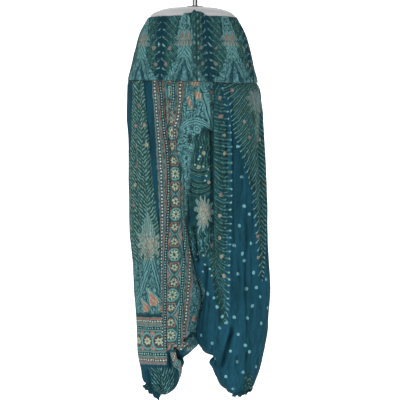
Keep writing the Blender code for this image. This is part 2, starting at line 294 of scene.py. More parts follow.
def bodyRows(leg, face, z, share):
    # rows of a panel from the yoke seam to the crotch, each from side seam to centre seam
    levels = legShape["levels"][::-1]
    table = through([l[1:] for l in levels], [l[0] for l in levels], z)[:, :, None]
    rightEdge, leftEdge, front, back, split = (table[:, k] for k in range(5))
    side = rightEdge if leg == "right" else leftEdge
    depth = front if face == "front" else back
    seam = along([(gridX(c), gridZ(r)) for c, r in legShape["frontSeam"]], z)[:, None]
    seam = seam if face == "front" else cloth["crotchX"] + 0 * seam
    half, middle = (leftEdge - rightEdge) / 2, (leftEdge + rightEdge) / 2
    x = mix(side, seam, (1 - np.cos(np.pi * share)) / 2)
    reach = np.minimum(1.0, np.abs(x - middle) / half)
    whole = (1 - reach ** cloth["roundness"]) ** (1 / cloth["roundness"])
    y = facing[face] * depth * mix(whole, np.sin(np.pi * share), split)
    top = yokeSeamZ(x, y) - cloth["seamGap"] - z[0]
    low = cloth["crotchRise"] * ease((-0.85 - z[:, None]) / 0.06) * ease((share[None, :] - 0.62) / 0.38)
    return np.stack([x, y, z[:, None] + low + top * ease(1 - (z[0] - z[:, None]) / 0.035)], axis=2)


def ringRow(leg, face, ring, share):
    x, z, halfWidth, halfDepth, tilt = ring
    across = -np.cos(np.pi * share) * halfWidth  # from the outer side to the inner side
    tilt = math.radians(tilt)
    return np.stack(
        [
            x - sideOf[leg] * across * math.cos(tilt),
            facing[face] * np.sin(np.pi * share) * halfDepth,
            z - across * math.sin(tilt),
        ],
        axis=1,
    )


# corners that the crumpled gusset leaves on the outline between the legs, in squares of the
# layout grid: column, row, outward in x, upward, radius
pulls = {
    "right": [
        (183, 356.5, -5.0, 1.0, 3.2), (182, 363, 1.2, 0, 2.4), (128, 120, -0.6, 0, 12),
        (127, 235, -0.5, 0, 9),
    ],
    "left": [
        (209.5, 355.5, 7.0, 0.8, 3.2), (210, 364, -3.4, 0, 3.2), (214.5, 375, 2.0, 0, 5),
        (223, 389, 3.0, 1.0, 4), (264, 330, 0.8, 0, 9),
    ]
}


def panelBase(leg, face):
    # the smooth panel, before any fold
    share = np.linspace(0, 1, legShape["columns"][face] + 1)
    top, crotch = legShape["levels"][0][0], legShape["levels"][-1][0]
    z = np.linspace(top, crotch, legShape["bodyRows"])
    body = bodyRows(leg, face, z, share)
    keys = [body[-30], body[-12], body[-1]] + [
        ringRow(leg, face, r, share)
        for r in legShape["cuffRings"][leg]
    ]
    keys = np.array(keys)
    middle = keys[:, len(share) // 2]
    place = np.concatenate([[0], np.cumsum(np.linalg.norm(np.diff(middle, axis=0), axis=1))])
    lower = through(keys, place, np.linspace(place[2], place[-1], legShape["cuffRows"] + 1)[1:])
    points = np.concatenate([body, lower])
    for column, row, outX, outZ, radius in pulls[leg]:
        away = np.hypot(points[..., 0] - gridX(column), points[..., 2] - gridZ(row)) / (radius * gridStep)
        near = np.exp(-away ** 2)
        points[..., 0] += outX * gridStep * near
        points[..., 2] += outZ * gridStep * near
    return points


def trough(points, path, leftWidth, rightWidth, fade):
    # 1 along a path of (column, row) grid places, falling off to its left and right, and at its ends
    px, pz = points[..., 0], points[..., 2]
    ends = np.array([(gridX(c), gridZ(r)) for c, r in path])
    lengths = np.linalg.norm(np.diff(ends, axis=0), axis=1)
    starts, total = np.concatenate([[0], np.cumsum(lengths)]), lengths.sum()
    best, side, travelled = np.full(px.shape, 1e9), np.ones(px.shape), np.zeros(px.shape)
    for k in range(len(lengths)):
        a, d = ends[k], (ends[k + 1] - ends[k]) / lengths[k]
        t = np.clip((px - a[0]) * d[0] + (pz - a[1]) * d[1], 0, lengths[k])
        dx, dz = px - a[0] - t * d[0], pz - a[1] - t * d[1]
        distance = np.hypot(dx, dz)
        nearer = distance < best
        best = np.where(nearer, distance, best)
        side = np.where(nearer, np.sign(d[0] * dz - d[1] * dx), side)
        travelled = np.where(nearer, starts[k] + t, travelled)
    width = np.where(side > 0, rightWidth, leftWidth) * gridStep
    fade = fade * gridStep
    taper = ease(travelled / fade) * ease((total - travelled) / fade)
    return np.exp(-((best / width) ** 2)) * taper


folds = {
    # path of (column, row), depth in metres (less than 0 is a ridge), leftWidth, rightWidth, fade
    ("right", "front"): [
        ([(195, 331), (189, 337.5), (183, 340.5)], 0.0130, 1.3, 1.3, 3),
        ([(192, 343), (186, 347), (181, 352)], 0.0070, 1.3, 1.3, 3),
        ([(174, 345), (178, 352), (180.5, 359)], 0.0140, 1.5, 1.5, 3),
        ([(169.5, 349), (170, 360), (171.2, 370)], 0.0070, 1.2, 1.2, 6),
        ([(147, 366), (149, 380), (150, 392)], 0.0040, 1.6, 1.6, 5),
        ([(160, 368), (161, 392)], 0.0035, 1.5, 1.5, 5),
        ([(150, 95), (154, 180), (157, 300)], 0.0016, 3.0, 3.0, 30),
        ([(164.6, 88), (166.2, 120), (170.5, 150), (171, 200), (169.5, 240)], 0.0040, 1.1, 1.1, 15),
        ([(171.5, 84), (169.5, 110), (170.5, 135)], 0.0035, 1.2, 1.2, 10),
        ([(180, 150), (182, 185), (183, 230), (185, 262)], 0.0040, 1.3, 1.3, 12),
        ([(158.5, 200), (160.5, 240), (160, 300)], 0.0030, 1.2, 1.2, 20),
        ([(146, 90), (149.6, 150), (152, 200)], 0.0026, 1.1, 1.1, 20),
        ([(134, 110), (137, 200), (140, 310)], 0.0018, 2.2, 2.2, 30),
        ([(143, 150), (147, 240), (150, 330)], 0.0014, 2.5, 2.5, 30),
        ([(166, 90), (171, 170), (174, 260)], 0.0016, 2.5, 2.5, 30),
        ([(183, 90), (180, 110), (176, 130)], -0.0020, 2.5, 2.5, 10),
    ],
    ("left", "front"): [
        (
            [(213.2, 84), (212.4, 120), (212.4, 160), (213, 200), (213.4, 235), (215, 258)], 0.0062, 8.0,
            1.1, 10,
        ),
        ([(211.6, 112), (211.2, 150), (211.8, 175), (212.2, 195)], 0.0050, 1.2, 0.9, 14),
        ([(214.6, 86), (214.0, 120), (214.0, 160), (214.4, 200), (214.8, 235)], -0.0042, 0.9, 5.0, 10),
        ([(195.2, 84), (194.6, 100), (194, 116)], 0.0035, 1.0, 1.0, 6),
        ([(190.4, 133), (189.2, 146)], 0.0100, 1.5, 1.6, 5),
        ([(183.6, 176), (186.5, 205), (188.5, 226)], 0.0060, 1.5, 2.0, 8),
        ([(203.5, 168), (203, 186)], 0.0028, 2.5, 2.5, 6),
        ([(233.5, 90), (232, 130), (233, 190), (234, 260)], 0.0015, 1.2, 1.2, 20),
        ([(245.5, 130), (246.5, 200), (245, 280), (247, 340)], 0.0018, 1.2, 1.2, 20),
        ([(226, 130), (226.5, 200), (225, 270)], 0.0014, 1.2, 1.2, 20),
        ([(191.5, 222), (194.0, 240), (195.6, 256), (197.5, 266)], 0.0130, 2.2, 2.6, 8),
        ([(185, 160), (190, 180), (191, 198)], 0.0045, 1.6, 1.6, 6),
        ([(207.5, 262), (206.6, 278), (205, 289), (202, 300), (199.6, 314)], 0.0050, 4.0, 1.0, 6),
        (
            [(231.6, 322), (230.6, 332), (226.4, 344), (223.4, 354), (222.0, 361), (219.6, 370)], 0.0115,
            1.5, 2.8, 12,
        ),
        ([(221.5, 338), (219, 350), (216, 362)], -0.0040, 2.5, 2.5, 6),
        ([(215, 356), (214.5, 366)], 0.0050, 1.6, 1.6, 3),
        ([(199, 200), (200, 260)], -0.0022, 3.0, 3.0, 15),
        ([(231, 100), (231, 200), (231, 300)], 0.0010, 3.0, 2.2, 30),
        ([(243, 190), (244.5, 330)], 0.0009, 1.4, 2.6, 30),
        ([(251, 140), (252, 300), (250, 370)], 0.0010, 2.2, 2.2, 30),
        ([(259.5, 120), (261, 290)], 0.0012, 1.8, 1.8, 30),
        ([(222, 90), (221, 180), (223, 290)], -0.0015, 3.0, 3.0, 30),
        ([(236, 350), (238, 378)], 0.0030, 2.0, 2.0, 8),
        ([(247, 345), (246, 378)], 0.0030, 1.8, 1.8, 8),
    ],
    ("right", "back"): [
        ([(174, 90), (178, 200), (184, 320)], 0.0090, 5.0, 1.6, 25),
        ([(150, 110), (156, 240), (160, 350)], 0.0040, 2.5, 2.5, 30),
        ([(137, 120), (140, 300)], 0.0025, 2.2, 2.2, 30),
        ([(163, 330), (168, 372)], 0.0080, 2.2, 2.2, 8),
    ],
    ("left", "back"): [
        ([(216, 86), (213, 190), (210, 320)], 0.0095, 1.6, 5.5, 25),
        ([(236, 120), (232, 260), (230, 350)], 0.0045, 2.5, 2.5, 30),
        ([(252, 130), (253, 310)], 0.0025, 2.2, 2.2, 30),
        ([(228, 335), (232, 372)], 0.0080, 2.2, 2.2, 8),
    ],
}

crinkle = {
    "fine": 0.0010,      # height of the narrow creases all over the cloth
    "broad": 0.0016,      # height of the slow waves down the legs
    "yokeGather": 0.0017, # pleats that the yoke seam lets out
    "cuffGather": 0.0032, # pleats that the elastic draws in
    "seamCalm": 0.008,    # how far from a seam the creases start
}


def relief(points, leg, face, across, seed):
    # how far each point stands in from the smooth panel
    z = points[..., 2]
    calm = ease(across / crinkle["seamCalm"]) * ease((across[:, -1:] - across) / crinkle["seamCalm"])
    depth = np.zeros(z.shape)
    atSeams = ease(across / 0.010) * ease((across[:, -1:] - across) / 0.010)
    for path, deep, leftWidth, rightWidth, fade in folds[(leg, face)]:
        depth += atSeams * deep * trough(points, path, leftWidth, rightWidth, fade)
    top = z[:1]
    depth += calm * crinkle["fine"] * softNoise(across, z, 0.0042, 0.045, seed)
    depth += calm * crinkle["fine"] * 1.4 * softNoise(across, z, 0.0085, 0.080, seed + 1)
    depth += calm * crinkle["broad"] * softNoise(across, z, 0.030, 0.170, seed + 2) * ease((top - z) / 0.05)
    letOut = ease((top - z) / 0.012) * np.exp(-(top - z) / 0.055)
    depth -= calm * crinkle["yokeGather"] * letOut * (0.6 + softNoise(across, z, 0.0070, 0.120, seed + 3))
    return depth * ease((top - z) / 0.008 + 0.02)


def cuffPleats(turn, row, last, seed):
    # pleats that run up from the elastic, deepest at the cuff
    near = np.exp(-(last - row) * 0.075)
    wave = np.cos(26 * turn + 1.7 * np.sin(3 * turn + seed)) + 0.5 * np.cos(41 * turn + seed)
    return crinkle["cuffGather"] * near * wave * 0.5


def clearOfForm(points, face):
    # no fold reaches the hip form, which stands inside the top of the legs
    f = formSections["levels"][::-1]
    x, z = points[..., 0] - cloth["formShift"], points[..., 2]
    table = through([l[1:] for l in f], [l[0] for l in f], z.ravel())
    half, depth = table[:, 0].reshape(z.shape), table[:, 1 if face == "front" else 2].reshape(z.shape)
    n = cloth["roundness"]
    skin = depth * np.maximum(1 - (np.abs(x) / half) ** n, 0) ** (1 / n)
    least = np.where((z > f[0][0] - 0.004) & (skin > 0), skin + cloth["wall"] + 0.0008, 0)
    points[..., 1] = facing[face] * np.maximum(facing[face] * points[..., 1], least)
    return points


def clothPanel(leg, face, seed):
    points = panelBase(leg, face)
    normal = gridNormals(points)
    middle = np.array(
        [np.mean(points[:, :, 0], axis=1), 0 * points[:, 0, 0], np.mean(points[:, :, 2], axis=1)]
    ).T
    if (normal[80] * (points[80] - middle[80])).sum() < 0:
        normal = -normal
    across = arcAcross(points)
    depth = relief(points, leg, face, across, seed)
    rows = np.arange(len(points))[:, None]
    share = np.linspace(0, 1, points.shape[1])
    turn = np.pi * share[None, :] * -facing[face]
    pleats = cuffPleats(turn, rows, len(points) - 1, seed % 7) * np.sin(np.pi * share) ** 0.3
    # the casing holds the last rows to its own ring
    held = 0.08 + 0.92 * ease((len(points) - 1 - rows) / 3.5)
    whole = held * (depth + np.where(rows > legShape["bodyRows"] - 40, pleats, 0))
    # how deep each point lies in a fold, which the print turns into painted shade in the folds and painted
    # light on the ridges
    crease = sunken(whole, 5) / 0.0016 + sunken(whole, 14) / 0.005
    folded = points - normal * whole[..., None]
    # keep the two panels of a leg on their own sides of the seams
    folded[:, :, 1] = facing[face] * np.maximum(facing[face] * folded[:, :, 1], cloth["seamGap"] / 2)
    folded[:, 0], folded[:, 1, 0] = points[:, 0], points[:, 0, 0]
    folded = clearOfForm(folded, face)
    folded[:, 0, 1] = facing[face] * cloth["seamGap"] / 2
    body = rows[:, 0] < legShape["bodyRows"]
    folded[body, -1, 0] += sideOf[leg] * cloth["seamGap"] / 2
    folded[~body, -1, 1] = facing[face] * cloth["seamGap"] / 2
    if np.isnan(folded).any():
        raise ValueError("a fold went wrong on " + leg + face)
    arcs = arcAcross(points - normal * depth[..., None])
    reference = along([(gridX(c), gridZ(r)) for c, r in printLine[leg]], points[:, 0, 2])
    frontRow = panelBase(leg, "front")
    frontShare = np.linspace(0, 1, frontRow.shape[1])
    shares = np.array(
        [np.interp(x, *orderedRow(row[:, 0], frontShare)) for x, row in zip(reference, frontRow)]
    )
    zero = np.array([np.interp(s, share, row) for s, row in zip(shares, arcs)])
    u = (arcs - zero[:, None]) * -sideOf[leg]
    v = -points[:, :, 2]
    drop = np.linalg.norm(np.diff(points, axis=0), axis=2)
    down = np.concatenate([v[:1], v[:1] + np.cumsum(drop, axis=0)])
    start = np.argmax(v[:, 70] > legShape["cuffDown"])
    v = np.where(np.arange(len(v))[:, None] >= start, v[start] + down - down[start], v)
    name, uv = f"cloth_leg_{leg}_{face}", np.stack([u, v], axis=2)
    rememberPlaces(name, folded, uv)
    return clothShell(name, folded, uv, middle[:, None, :], crease)


def orderedRow(x, share):
    order = np.argsort(x)
    return x[order], share[order]


# the line of cloth that each leg's print is measured from, as column and row
printLine = {
    "right": [
        (152.6, 81), (155.5, 130), (158, 178), (159.5, 215), (161, 255), (162, 290), (162, 319),
        (162.5, 360), (163, 410),
    ],
    "left": [(231, 80), (231, 410)]
}


yokeShape = {
    "frontRows": 110,
    "frontColumns": 110,
    "backColumns": 220,
    "levels": [-0.0706, -0.0880, -0.1064, -0.1320, -0.1580, -0.1770, -0.1960, -0.2150, -0.2350],
    "seamX": 0.0040,          # the centre-front seam
    "bunchRise": 0.0074,      # how high the knotted pleats stand above the edge
    "bunchHalfWidth": 0.0290,
    "knobRise": 0.0050,
    "knobHalfWidth": 0.0034,
    "pleatX": [-0.0200, -0.0105, 0.0025, 0.0100, 0.0190],
    "pleatHalfWidth": 0.0022,
    "pleatDepth": 0.0030,
    "pleatLength": 0.060,
}


def waistEdge(x):
    # how far the top edge rises at x, over the bunched centre
    y = yokeShape
    near = 1 - ease((np.abs(x + 0.0030) - 0.0220) / (y["bunchHalfWidth"] - 0.0220))
    knob = 1 - ease(np.abs(x + 0.0015) / y["knobHalfWidth"])
    return y["bunchRise"] * near + 0.0034 * np.exp(-(((x - 0.006) / 0.010) ** 2)) + y["knobRise"] * knob


def yokePanel(name, first, last, columns, seed):
    # a waistband piece over the form between two angles
    y = yokeShape
    down = np.linspace(0, 1, y["frontRows"] + 1)
    top, bottom = y["levels"][0], y["levels"][-1]
    angle = np.linspace(first, last, columns + 1)
    zs = mix(top, bottom, down)[:, None] + 0 * angle[None, :]
    grow = cloth["formClearance"] + cloth["wall"]
    base = formRing(zs, grow, angle[None, :] + 0 * zs)
    x, front = base[..., 0], base[..., 1] < 0
    lower = np.where(front, yokeSeamZ(x, base[..., 1]), bottom) + cloth["seamGap"]
    upper = top + np.where(front, waistEdge(x), 0) + 0.0008 * softNoise(x, base[..., 1], 0.02, 0.02, seed)
    base[..., 2] = mix(upper, lower, down[:, None])
    normal = gridNormals(base)
    outward = base * np.array([1, 1, 0])
    if (normal * outward).sum() < 0:
        normal = -normal
    across = arcAcross(base)
    calm = ease(across / 0.006) * ease((across[:, -1:] - across) / 0.006)
    fromTop, fromSeam = down[:, None] * (top - bottom), (1 - down[:, None]) * (top - bottom)
    proud = 0.0006 * softNoise(across, base[..., 2], 0.012, 0.05, seed + 1) * calm
    proud += 0.0012 * softNoise(across, base[..., 2], 0.030, 0.08, seed + 2) * calm
    gather = 0.0015 * ease((fromSeam - 0.001) / 0.006) * np.exp(-fromSeam / 0.030)
    proud += gather * (0.4 + softNoise(across, base[..., 2], 0.0075, 0.12, seed + 3)) * calm
    draw = 0.0010 * np.exp(-fromTop / 0.016)
    proud += draw * (0.6 + softNoise(across, base[..., 2], 0.0060, 0.08, seed + 4)) * calm
    for pleatX in y["pleatX"]:
        foot = y["seamX"] + (pleatX - y["seamX"]) * 1.25
        apart = (x - mix(pleatX, foot, down[:, None])) / y["pleatHalfWidth"]
        pleat = np.exp(-apart ** 2) * np.exp(-((fromTop / y["pleatLength"]) ** 2))
        proud -= np.where(front, y["pleatDepth"] * pleat, 0)
    hump = np.exp(-(((x + 0.0015) / 0.020) ** 2)) * np.exp(-((fromTop / 0.034) ** 2))
    proud += np.where(front, 0.0058 * hump, 0)
    proud = np.maximum(proud, -0.0012)
    points = base + normal * proud[..., None]
    gap = cloth["seamGap"] / 2
    for end, beside in ((0, 1), (-1, -2)):
        step = points[:, beside] - points[:, end]
        points[:, end] += step * gap / np.maximum(np.linalg.norm(step, axis=1, keepdims=True), 1e-9)
    middle = np.broadcast_to(np.array([cloth["formShift"], 0, -0.15]), points.shape)
    # measured round the waist from the centre-front seam, positive to the left side
    u = np.where(front, across - across[:, :1] if seed == 12 else across - across[:, -1:], across)
    # how deep each point lies in a fold, which the print turns into painted shade in the folds and painted
    # light on the ridges
    crease = sunken(-proud, 3) / 0.0009 + sunken(-proud, 10) / 0.003
    return clothShell(name, points, np.stack([u, -points[..., 2]], axis=2), middle, crease)


def frontAngle(x, z):
    # the angle at which the front of the form's ring passes x
    low, high = math.pi, 2 * math.pi
    for _ in range(40):
        half = (low + high) / 2
        if formRing(np.array([z]), cloth["formClearance"] + cloth["wall"], np.array([half]))[0, 0] < x:
            low = half
        else:
            high = half
    return low


hemShape = {
    "sides": 256,
    "rows": 26,
    "ends": {
        "right": (-0.1133, -1.0306, 0.0268, 0.0270, 41), "left": (0.1216, -1.0350, 0.0269, 0.0270, 19)
    },
    "elasticShare": 0.38,
    "puff": 0.0024,
    "frills": 13,
    "frillDepth": 0.0046,
    "rise": 0.0022,        # how far the frill's lower edge wanders up and down
    "curve": {"right": 0.0, "left": 0.0060},  # how much higher its two sides hang than its middle
}


def hemRing(leg, seed):
    # the casing over the elastic, and the little frill below it
    h = hemShape
    start, end = np.array(legShape["cuffRings"][leg][-1]), np.array(h["ends"][leg])
    drop = math.hypot(end[0] - start[0], end[1] - start[1])
    turn = np.linspace(0, 2 * np.pi, h["sides"] + 1)[None, :]
    share = np.linspace(cloth["seamGap"] / drop, 1, h["rows"] + 1)[:, None]
    x, z, halfWidth, halfDepth, tilt = (mix(start[k], end[k], share) for k in range(5))
    casing = np.sin(np.pi * np.clip(share / h["elasticShare"], 0, 1)) ** 0.6
    frill = ease((share - h["elasticShare"]) / (1 - h["elasticShare"]))
    wave = np.cos(h["frills"] * turn + 1.3 * np.sin(4 * turn + seed)) + 0.45 * np.cos(29 * turn + 2 * seed)
    grow = (
        h["puff"] * casing * (0.35 + 0.25 * np.cos(34 * turn + seed))
        + h["frillDepth"] * frill * (0.55 * wave - 0.1)
    )
    grow += 0.0006 * np.cos(22 * turn) * (1 - frill)
    across = -np.cos(turn) * (halfWidth + grow)
    tilt = np.radians(tilt)
    points = np.stack(
        [
            x - sideOf[leg] * across * np.cos(tilt),
            -np.sin(turn) * (halfDepth + grow),
            z
            - across * np.sin(tilt)
            + frill * h["rise"] * (np.cos(9 * turn + seed) + 0.7 * np.cos(21 * turn + 2 * seed))
            + frill * h["curve"][leg] * np.cos(turn) ** 2,
        ],
        axis=2,
    )
    points[:, -1] = points[:, 0]
    u = turn * 0.045 + 0 * share
    v = (1.03 + share * drop) + 0 * turn
    middle = np.stack([x, 0 * x, z], axis=2)
    # how deep each point lies in a fold, which the print turns into painted shade in the folds and painted
    # light on the ridges
    crease = sunken(-grow, 6) / 0.0012
    return clothShell(f"hem_ruffle_{leg}", points, np.stack([u, v], axis=2), middle, crease, ring=True)


class Reading:
    # a number that varies over the cloth; arithmetic on it adds Math nodes to its tree
    def __init__(self, tree, socket):
        self.tree, self.socket = tree, socket

    def __abs__(self):
        return reckon("ABSOLUTE", self)


for method, operation in (("add", "ADD"), ("sub", "SUBTRACT"), ("mul", "MULTIPLY"), ("truediv", "DIVIDE")):
    setattr(Reading, f"__{method}__", lambda self, other, kind=operation: reckon(kind, self, other))
    setattr(Reading, f"__r{method}__", lambda self, other, kind=operation: reckon(kind, other, self))


def plug(tree, value, slot):
    # value is a reading, a socket, the name of a dye, or plain numbers
    if isinstance(value, Reading):
        tree.links.new(value.socket, slot)
    elif isinstance(value, bpy.types.NodeSocket):
        tree.links.new(value, slot)
    else:
        slot.default_value = dyes[value] if isinstance(value, str) else value


def reckon(operation, *values):
    tree = next(value.tree for value in values if isinstance(value, Reading))
    node = tree.nodes.new("ShaderNodeMath")
    node.operation = operation
    for value, slot in zip(values, node.inputs):
        plug(tree, value, slot)
    return Reading(tree, node.outputs[0])


def least(a, b):
    return reckon("MINIMUM", a, b)


def most(a, b):
    return reckon("MAXIMUM", a, b)


def wave(a):
    return reckon("COSINE", a)


def part(a):
    return reckon("FRACT", a)


def length(x, y):
    return reckon("SQRT", x * x + y * y)


def fold(a, period, centre=0.0):
    # a, wrapped to lie within half a period of nought
    shifted = (a - centre) * (1 / period) + 0.5
    return (part(shifted) - 0.5) * period


def rise(a, none, full, ends=(0, 1)):
    # nought where a is at or under none, up to 1 at full
    node = a.tree.nodes.new("ShaderNodeMapRange")
    node.interpolation_type = "SMOOTHSTEP"
    labels = ("Value", "From Min", "From Max", "To Min", "To Max")
    for label, value in zip(labels, (a, none, full, *ends)):
        plug(a.tree, value, node.inputs[label])
    return Reading(a.tree, node.outputs["Result"])


def fall(a, full, none):
    # 1 where a is at or under full, down to nought at none
    return rise(a, full, none, ends=(1, 0))


def within(a, low, high, soft=0.5):
    return rise(a, low - soft, low + soft) * fall(a, high - soft, high + soft)


def band(a, centre, half, soft=0.35):
    return fall(abs(a - centre), half - soft, half + soft)


def pair(x, y):
    node = x.tree.nodes.new("ShaderNodeCombineXYZ")
    plug(x.tree, x, node.inputs["X"])
    plug(x.tree, y, node.inputs["Y"])
    return node.outputs[0]


def reach(vector, point=(0, 0)):
    # how far a place on the cloth is from a point
    tree = vector.id_data
    node = tree.nodes.new("ShaderNodeVectorMath")
    node.operation = "DISTANCE"
    tree.links.new(vector, node.inputs[0])
    node.inputs[1].default_value = (point[0], point[1], 0)
    return Reading(tree, node.outputs["Value"])


def nearest(vector, points):
    # the distance to the nearest of some points
    return functools.reduce(least, [reach(vector, point) for point in points])


def paint(under, cover, colour):
    # a colour laid over another where the cover is 1
    tree = cover.tree
    node = tree.nodes.new("ShaderNodeMix")
    node.data_type = "RGBA"
    plug(tree, cover, node.inputs[0])
    plug(tree, under, node.inputs[6])
    plug(tree, colour, node.inputs[7])
    return node.outputs[2]


def coats(ground, *layers):
    # a colour with others laid over it, each as (cover, colour)
    return functools.reduce(lambda under, layer: paint(under, *layer), layers, ground)


def dye(red, green, blue):
    # a dye from its red, green and blue on the 0 to 255 scale
    values = [c / 255 for c in (red, green, blue)]
    return tuple(c / 12.92 if c <= 0.04045 else ((c + 0.055) / 1.055) ** 2.4 for c in values) + (1.0,)


guideRows = 450  # rows of the layout grid that a guide line can span


def guide(row, places):
    # a line down the cloth through (row, across) places, read at each row
    tree = row.tree
    places = sorted(places)
    low, high = min(p[1] for p in places) - 1, max(p[1] for p in places) + 1
    node = tree.nodes.new("ShaderNodeFloatCurve")
    curve = node.mapping.curves[0]
    for k, (at, across) in enumerate(places):
        spot = (at / guideRows, (across - low) / (high - low))
        if k == 0:
            curve.points[0].location = spot
        elif k == len(places) - 1:
            curve.points[-1].location = spot
        else:
            curve.points.new(*spot)
    for point in curve.points:
        point.handle_type = "AUTO_CLAMPED"
    node.mapping.extend = "HORIZONTAL"
    node.mapping.update()
    plug(tree, row * (1 / guideRows), node.inputs["Value"])
    return Reading(tree, node.outputs[0]) * (high - low) + low


clothPlaces = {}


def rememberPlaces(name, points, uv):
    # where each front place of the layout grid lies on a piece of cloth
    column, row = points[..., 0] / gridStep + gridMiddle, -points[..., 2] / gridStep - gridTop
    clothPlaces[name] = (column, row, uv[..., 0] / gridStep, uv[..., 1] / gridStep - gridTop)


def placeOn(name, column, row):
    # (across, row) on the cloth under a place of the layout grid
    columns, rows, across, down = clothPlaces[name]
    i, j = np.unravel_index(np.argmin((columns - column) ** 2 + (rows - row) ** 2), columns.shape)
    i, j = np.clip(i, 1, columns.shape[0] - 2), np.clip(j, 1, columns.shape[1] - 2)
    grid = [
        [(f[i + 1, j] - f[i - 1, j]) / 2, (f[i, j + 1] - f[i, j - 1]) / 2]
        for f in (columns, rows, across, down)
    ]
    turn = np.array(grid[:2])
    step = np.linalg.lstsq(turn, [column - columns[i, j], row - rows[i, j]], rcond=0.05)[0]
    step = np.clip(step, -1.5, 1.5)
    return (
        float(across[i, j] + np.dot(grid[2], step)),
        float(down[i, j] + np.dot(grid[3], step)),
    )


# effects that several prints use, each a group with its own sockets
def openGroup(name, inputs, outputs):
    # inputs of (label, value at the start), where a vector has none
    group = bpy.data.node_groups.new(name, "ShaderNodeTree")
    for label, start in inputs:
        kind = "NodeSocketVector" if start is None else "NodeSocketFloat"
        socket = group.interface.new_socket(label, in_out="INPUT", socket_type=kind)
        if start is not None:
            socket.default_value = start
    for label in outputs:
        group.interface.new_socket(label, in_out="OUTPUT", socket_type="NodeSocketFloat")
    source, end = group.nodes.new("NodeGroupInput"), group.nodes.new("NodeGroupOutput")
    readings = [Reading(group, source.outputs[label]) for label, _ in inputs]
    return group, readings, end


def closeGroup(group, end, **results):
    for label, reading in results.items():
        group.links.new(reading.socket, end.inputs[label])
    return group


def useGroup(tree, group, **values):
    node = tree.nodes.new("ShaderNodeGroup")
    node.node_tree = group
    for label, value in values.items():
        plug(tree, value, node.inputs[label])
    return {socket.name: Reading(tree, socket) for socket in node.outputs}


def barbsGroup():
    # feather barbs that leave a quill: they run down by Drop and level out by Curl
    group, (across, row, spacing, drop, curl, span, thick, vary), end = openGroup(
        "feather_barbs",
        [
            ("Across", 0), ("Row", 0), ("Spacing", 3.2), ("Drop", 0.8), ("Curl", 0), ("Span", 12),
            ("Thick", 0.3), ("Vary", 0),
        ],
        ["Line", "Bead"],
    )
    out = abs(across)
    bent = least(out, abs(drop) / (most(curl, 0) * 2 + 0.0001))
    turn = (row - drop * bent + curl * bent * bent) / spacing
    count = reckon("FLOOR", turn)
    span = span - part(reckon("SINE", count * 12.99) * 43.7) * vary
    beat = abs(part(turn) - 0.5)
    edge = fall(out, span - 0.6, span + 0.6)
    line = rise(beat, 0.5 - thick - 0.1, 0.5 - thick + 0.1) * edge
    dy = (0.5 - beat) * spacing
    reachOut = reckon("SQRT", dy * dy + (out - span) * (out - span))
    bead = fall(reachOut, 0.6, 1.25)
    return closeGroup(group, end, Line=line, Bead=bead)


def bloomGroup():
    # a small round flower: petals with a rim and an eye
    group, (x, y, size, petals), end = openGroup(
        "small_bloom", [("X", 0), ("Y", 0), ("Size", 4), ("Petals", 8)], ["Disc", "Rim", "Petal", "Eye"]
    )
    out = length(x, y) / size
    angle = reckon("ARCTAN2", y, x)
    lobe = abs(wave(angle * petals * 0.5))
    disc = fall(out, 0.92, 1.04)
    rim = disc * (1 - fall(out, 0.80, 0.90))
    petal = fall(out + (1 - lobe) * 0.30, 0.70, 0.80) * (1 - fall(out, 0.16, 0.26))
    eye = fall(out, 0.14, 0.24)
    return closeGroup(group, end, Disc=disc, Rim=rim, Petal=petal, Eye=eye)


def starGroup():
    # a flower with long pointed petals
    group, (x, y, size, points, raggedness), end = openGroup(
        "pointed_flower", [("X", 0), ("Y", 0), ("Size", 9), ("Points", 9), ("Ragged", 0.45)],
        ["Star", "Veins"],
    )
    out = length(x, y) / size
    angle = reckon("ARCTAN2", y, x)
    lobe = abs(wave(angle * points * 0.5 + 0.4 * wave(angle * 2 + 1)))
    lobe = 0.58 + 0.42 * reckon("POWER", lobe, 1.3) + 0.10 * wave(angle * 3 + 0.7)
    ragged = tones(x, y, 2.6, 2.6, 1) - 0.5
    star = fall(out / lobe + ragged * raggedness, 0.90, 1.02)
    veins = star * (1 - fall(abs(wave(angle * points)), 0.15, 0.45)) * rise(out, 0.25, 0.45)
    return closeGroup(group, end, Star=star, Veins=veins)


def scrollGroup():
    # curling scroll work: light rings in small cells with dark lines between them
    group, (x, y, size), end = openGroup(
        "scroll_work", [("X", 0), ("Y", 0), ("Size", 6)], ["Scroll", "Hollow"]
    )
    place = pair(x / size, y / size)
    bend = group.nodes.new("ShaderNodeTexNoise")
    bend.noise_dimensions = "2D"
    bend.inputs["Scale"].default_value = 1.2
    bend.inputs["Detail"].default_value = 1.0
    group.links.new(place, bend.inputs["Vector"])
    bendX, bendY, _ = separate(group, bend.outputs["Color"])
    bent = pair(x / size + (bendX - 0.5) * 0.8, y / size + (bendY - 0.5) * 0.8)
    readings = []
    for feature in ("F1", "DISTANCE_TO_EDGE"):
        cells = group.nodes.new("ShaderNodeTexVoronoi")
        cells.voronoi_dimensions = "2D"
        cells.feature = feature
        cells.inputs["Scale"].default_value = 1.0
        cells.inputs["Randomness"].default_value = 0.9
        group.links.new(bent, cells.inputs["Vector"])
        readings.append(Reading(group, cells.outputs["Distance"]))
    out, edge = readings
    rings = wave(out * 12)
    scroll = (0.25 + rise(rings, -0.5, 0.5) * 0.75) * rise(edge, 0.02, 0.10)
    hollow = fall(edge, 0.02, 0.10) * 0.8
    return closeGroup(group, end, Scroll=scroll, Hollow=hollow)


def separate(tree, vector):
    node = tree.nodes.new("ShaderNodeSeparateXYZ")
    tree.links.new(vector, node.inputs[0])
    return [Reading(tree, socket) for socket in node.outputs]


